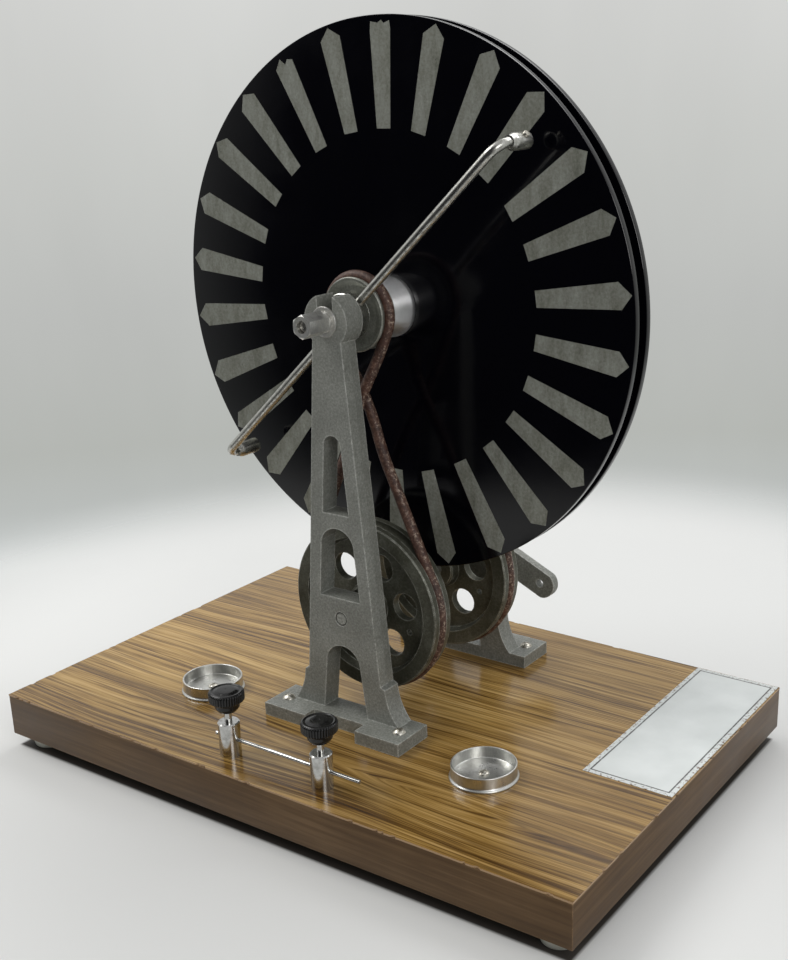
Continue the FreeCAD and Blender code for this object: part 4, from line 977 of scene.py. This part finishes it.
# Belts: two loops of round brown leather cord in the pulleys' grooves, the front one crossed. The
# leather is blotched and speckled, and pale speckles are painted on its faces that point right.
leather_material, leather_tree, leather_shader = new_material("brown_belt_leather",
                                                              (0.10, 0.045, 0.022), roughness=0.6)
leather_cloud = noise_at(object_place(leather_tree), 160, 4, 0.6)
leather_speckle = noise_at(object_place(leather_tree), 620, 5, 0.75)
leather_tone = weighted((leather_cloud, 0.5), (leather_speckle, 0.5))
leather_colour = ramp(leather_tone, [
    (0.34, (0.018, 0.008, 0.006)), (0.48, (0.062, 0.026, 0.017)), (0.58, (0.115, 0.055, 0.036)),
    (0.68, (0.28, 0.19, 0.14))])
# Pale speckles go on the faces whose normal points to +X, whatever the belt's own sides.
leather_right = add_node(leather_tree, "ShaderNodeSeparateXYZ", {
    0: add_node(leather_tree, "ShaderNodeNewGeometry").outputs["Normal"]}).outputs["X"]
leather_pale_right = maths("MULTIPLY", spread(leather_right, 0.35, 0.85, 0.12, 1.0),
                       spread(leather_speckle, 0.53, 0.62))
PALE_RIGHT_LEATHER, CORD_SMOOTH = (0.40, 0.32, 0.25), 60
feed(leather_shader, blend_colours(leather_pale_right, leather_colour, PALE_RIGHT_LEATHER))
bump(leather_shader, leather_tone, 0.35 * MM, 0.8)
for node_name in ("front_belt", "back_belt"):
    dressed_cad(node_name, leather_material, "stand", smooth_angle=CORD_SMOOTH)


# Cups: shallow dishes of spun aluminium, each screwed to the board through its floor. They are
# dull and lightly scuffed.
cup_material, _, cup_shader = new_material("cup_aluminium", (0.62, 0.62, 0.6), 1.0, 0.28)
steel_look(cup_shader, (0.44, 0.44, 0.41), (0.70, 0.70, 0.68), 130, 0.24, 0.42)
CUP_HOLE, CUP_FOOT, CUP_OUTSIDE, CUP_INSIDE = 2.0 * MM, 18.7 * MM, 17.7 * MM, 16.6 * MM
CUP_FLOOR, CUP_HEIGHT, CUP_ROUND = 1.6 * MM, 8 * MM, 0.5 * MM
cup_profile = rounded_profile([
    (CUP_HOLE, 0), (CUP_FOOT, 0), (CUP_FOOT, 0.8 * MM), (CUP_OUTSIDE, 1.8 * MM),
    (CUP_OUTSIDE, CUP_HEIGHT), (CUP_INSIDE, CUP_HEIGHT), (CUP_INSIDE, CUP_FLOOR), (CUP_HOLE, CUP_FLOOR)],
    CUP_ROUND, 4, closed=True)
for node_name in ("left_cup", "right_cup"):
    cup_foot = axis_point(node_name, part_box(node_name)[0].z)
    finish_piece(node_name + "_dish", turned_shape(cup_profile, cup_foot, (0, 0, 1), TURNING_STEPS),
                 cup_material, "stand", [node_name])


# Cup screws: one small slotted round head in the middle of each dish, of plated steel like the
# others. It is turned, and its slot is cut straight across.
CUP_SCREW_RADIUS, CUP_SCREW_RISE, CUP_SCREW_SEAT = 2.8 * MM, 1.3 * MM, 0.5 * MM
CUP_SLOT_HALF, CUP_SCREW_STEPS = 0.35 * MM, 40
seat_profile = [(0, 0), (CUP_SCREW_RADIUS, 0), (CUP_SCREW_RADIUS, CUP_SCREW_SEAT), (0, CUP_SCREW_SEAT)]
dome_profile = [(0, CUP_SCREW_SEAT)] + [
    (CUP_SCREW_RADIUS * math.cos(math.radians(angle)),
     CUP_SCREW_SEAT + (CUP_SCREW_RISE - CUP_SCREW_SEAT) * math.sin(math.radians(angle)))
    for angle in range(0, 91, 15)]


def add_to(whole, part):
    """Move one finished bmesh into another."""
    spare = bpy.data.meshes.new("spare")
    part.to_mesh(spare)
    part.free()
    whole.from_mesh(spare)
    bpy.data.meshes.remove(spare)


cup_heads = bmesh.new()
for node_name in ("left_cup", "right_cup"):
    centre = axis_point(node_name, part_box(node_name)[0].z + CUP_FLOOR)
    add_to(cup_heads, turned_shape(seat_profile, centre, (0, 0, 1), CUP_SCREW_STEPS))
    for side in (-1, 1):
        half = turned_shape(dome_profile, centre, (0, 0, 1), CUP_SCREW_STEPS)
        cut_through(half, centre + Vector((side * CUP_SLOT_HALF, 0, 0)), (side, 0, 0), clear_inner=True)
        bmesh.ops.holes_fill(half, edges=[edge for edge in half.edges if edge.is_boundary])
        add_to(cup_heads, half)
finish_piece("cup_screw_heads", cup_heads, screw_material, "stand", ["cup_screws"])


# Terminals: chromed posts, each with a cross hole and a thumb screw that clamps the link rod.
chrome_material, chrome_tree, chrome_shader = new_material("terminal_chrome", (0.72, 0.72, 0.72),
                                                           metallic=1.0, roughness=0.08)
chrome_cloud = noise_at(object_place(chrome_tree), 300, 4, 0.6)
feed(chrome_shader, ramp(chrome_cloud, [(0.3, (0.38, 0.38, 0.36)), (0.6, (0.62, 0.62, 0.61))]),
     spread(chrome_cloud, 0.35, 0.7, 0.22, 0.12))
POST_EDGE = 0.3 * MM
for end_name in ("left", "right"):
    dressed_cad(end_name + "_terminal_post", chrome_material, "stand", POST_EDGE, 3)
    dressed_cad(end_name + "_thumb_screw", chrome_material, end_name + "_screw")
dressed_cad("link_rod", chrome_material, "link", TURNED_EDGE)


# Knobs: glossy black moulded plastic on the thumb screws, low domes over a band of forty fine
# flutes that gives the fingers a grip.
knob_material, knob_tree, knob_shader = new_material("black_knob_plastic", (0.006, 0.006, 0.006),
                                                     roughness=0.2, specular=0.4)
knob_cloud = noise_at(object_place(knob_tree), 260, 4, 0.6)
feed(knob_shader, roughness=spread(knob_cloud, 0.3, 0.7, 0.10, 0.24))
KNOB_FLUTES, STEPS_PER_FLUTE, FLUTE_DEPTH, FLUTE_REACH = 40, 6, 0.45 * MM, 0.5 * MM
KNOB_BORE, BORE_DEPTH, KNOB_ROUND = 2.1 * MM, 7 * MM, 0.6 * MM
NECK_FOOT, NECK_WAIST, NECK_TOP, BAND_FOOT = 5.2 * MM, 6.7 * MM, 6.9 * MM, 6.6 * MM
for end_name in ("left", "right"):
    low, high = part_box(end_name + "_thumb_knob")
    knob_radius = (high.x - low.x) / 2
    knob_foot = axis_point(end_name + "_thumb_knob", low.z)
    tall = high.z - low.z
    knob_profile = rounded_profile([
        (KNOB_BORE, 0), (NECK_FOOT, 0), (NECK_WAIST, 2.2 * MM), (NECK_TOP, 4.6 * MM),
        (knob_radius - 0.6 * MM, 5.9 * MM), (knob_radius, BAND_FOOT), (knob_radius, tall - 1.5 * MM),
        (knob_radius - 1.3 * MM, tall - 0.5 * MM), (knob_radius - 2.4 * MM, tall - 1.1 * MM),
        (5.0 * MM, tall - 0.25 * MM), (0, tall), (0, BORE_DEPTH), (KNOB_BORE, BORE_DEPTH)],
        KNOB_ROUND, 4, closed=True)
    shape = turned_shape(knob_profile, knob_foot, (0, 0, 1), KNOB_FLUTES * STEPS_PER_FLUTE)
    for vert in shape.verts:
        out = Vector((vert.co.x - knob_foot.x, vert.co.y - knob_foot.y, 0))
        if out.length > knob_radius - FLUTE_REACH:
            share = math.atan2(out.y, out.x) * KNOB_FLUTES / math.tau
            vert.co -= out.normalized() * FLUTE_DEPTH * max(0.0, math.cos(math.tau * share)) ** 2
    finish_piece(end_name + "_fluted_knob", shape, knob_material, end_name + "_knob",
                 [end_name + "_thumb_knob"])
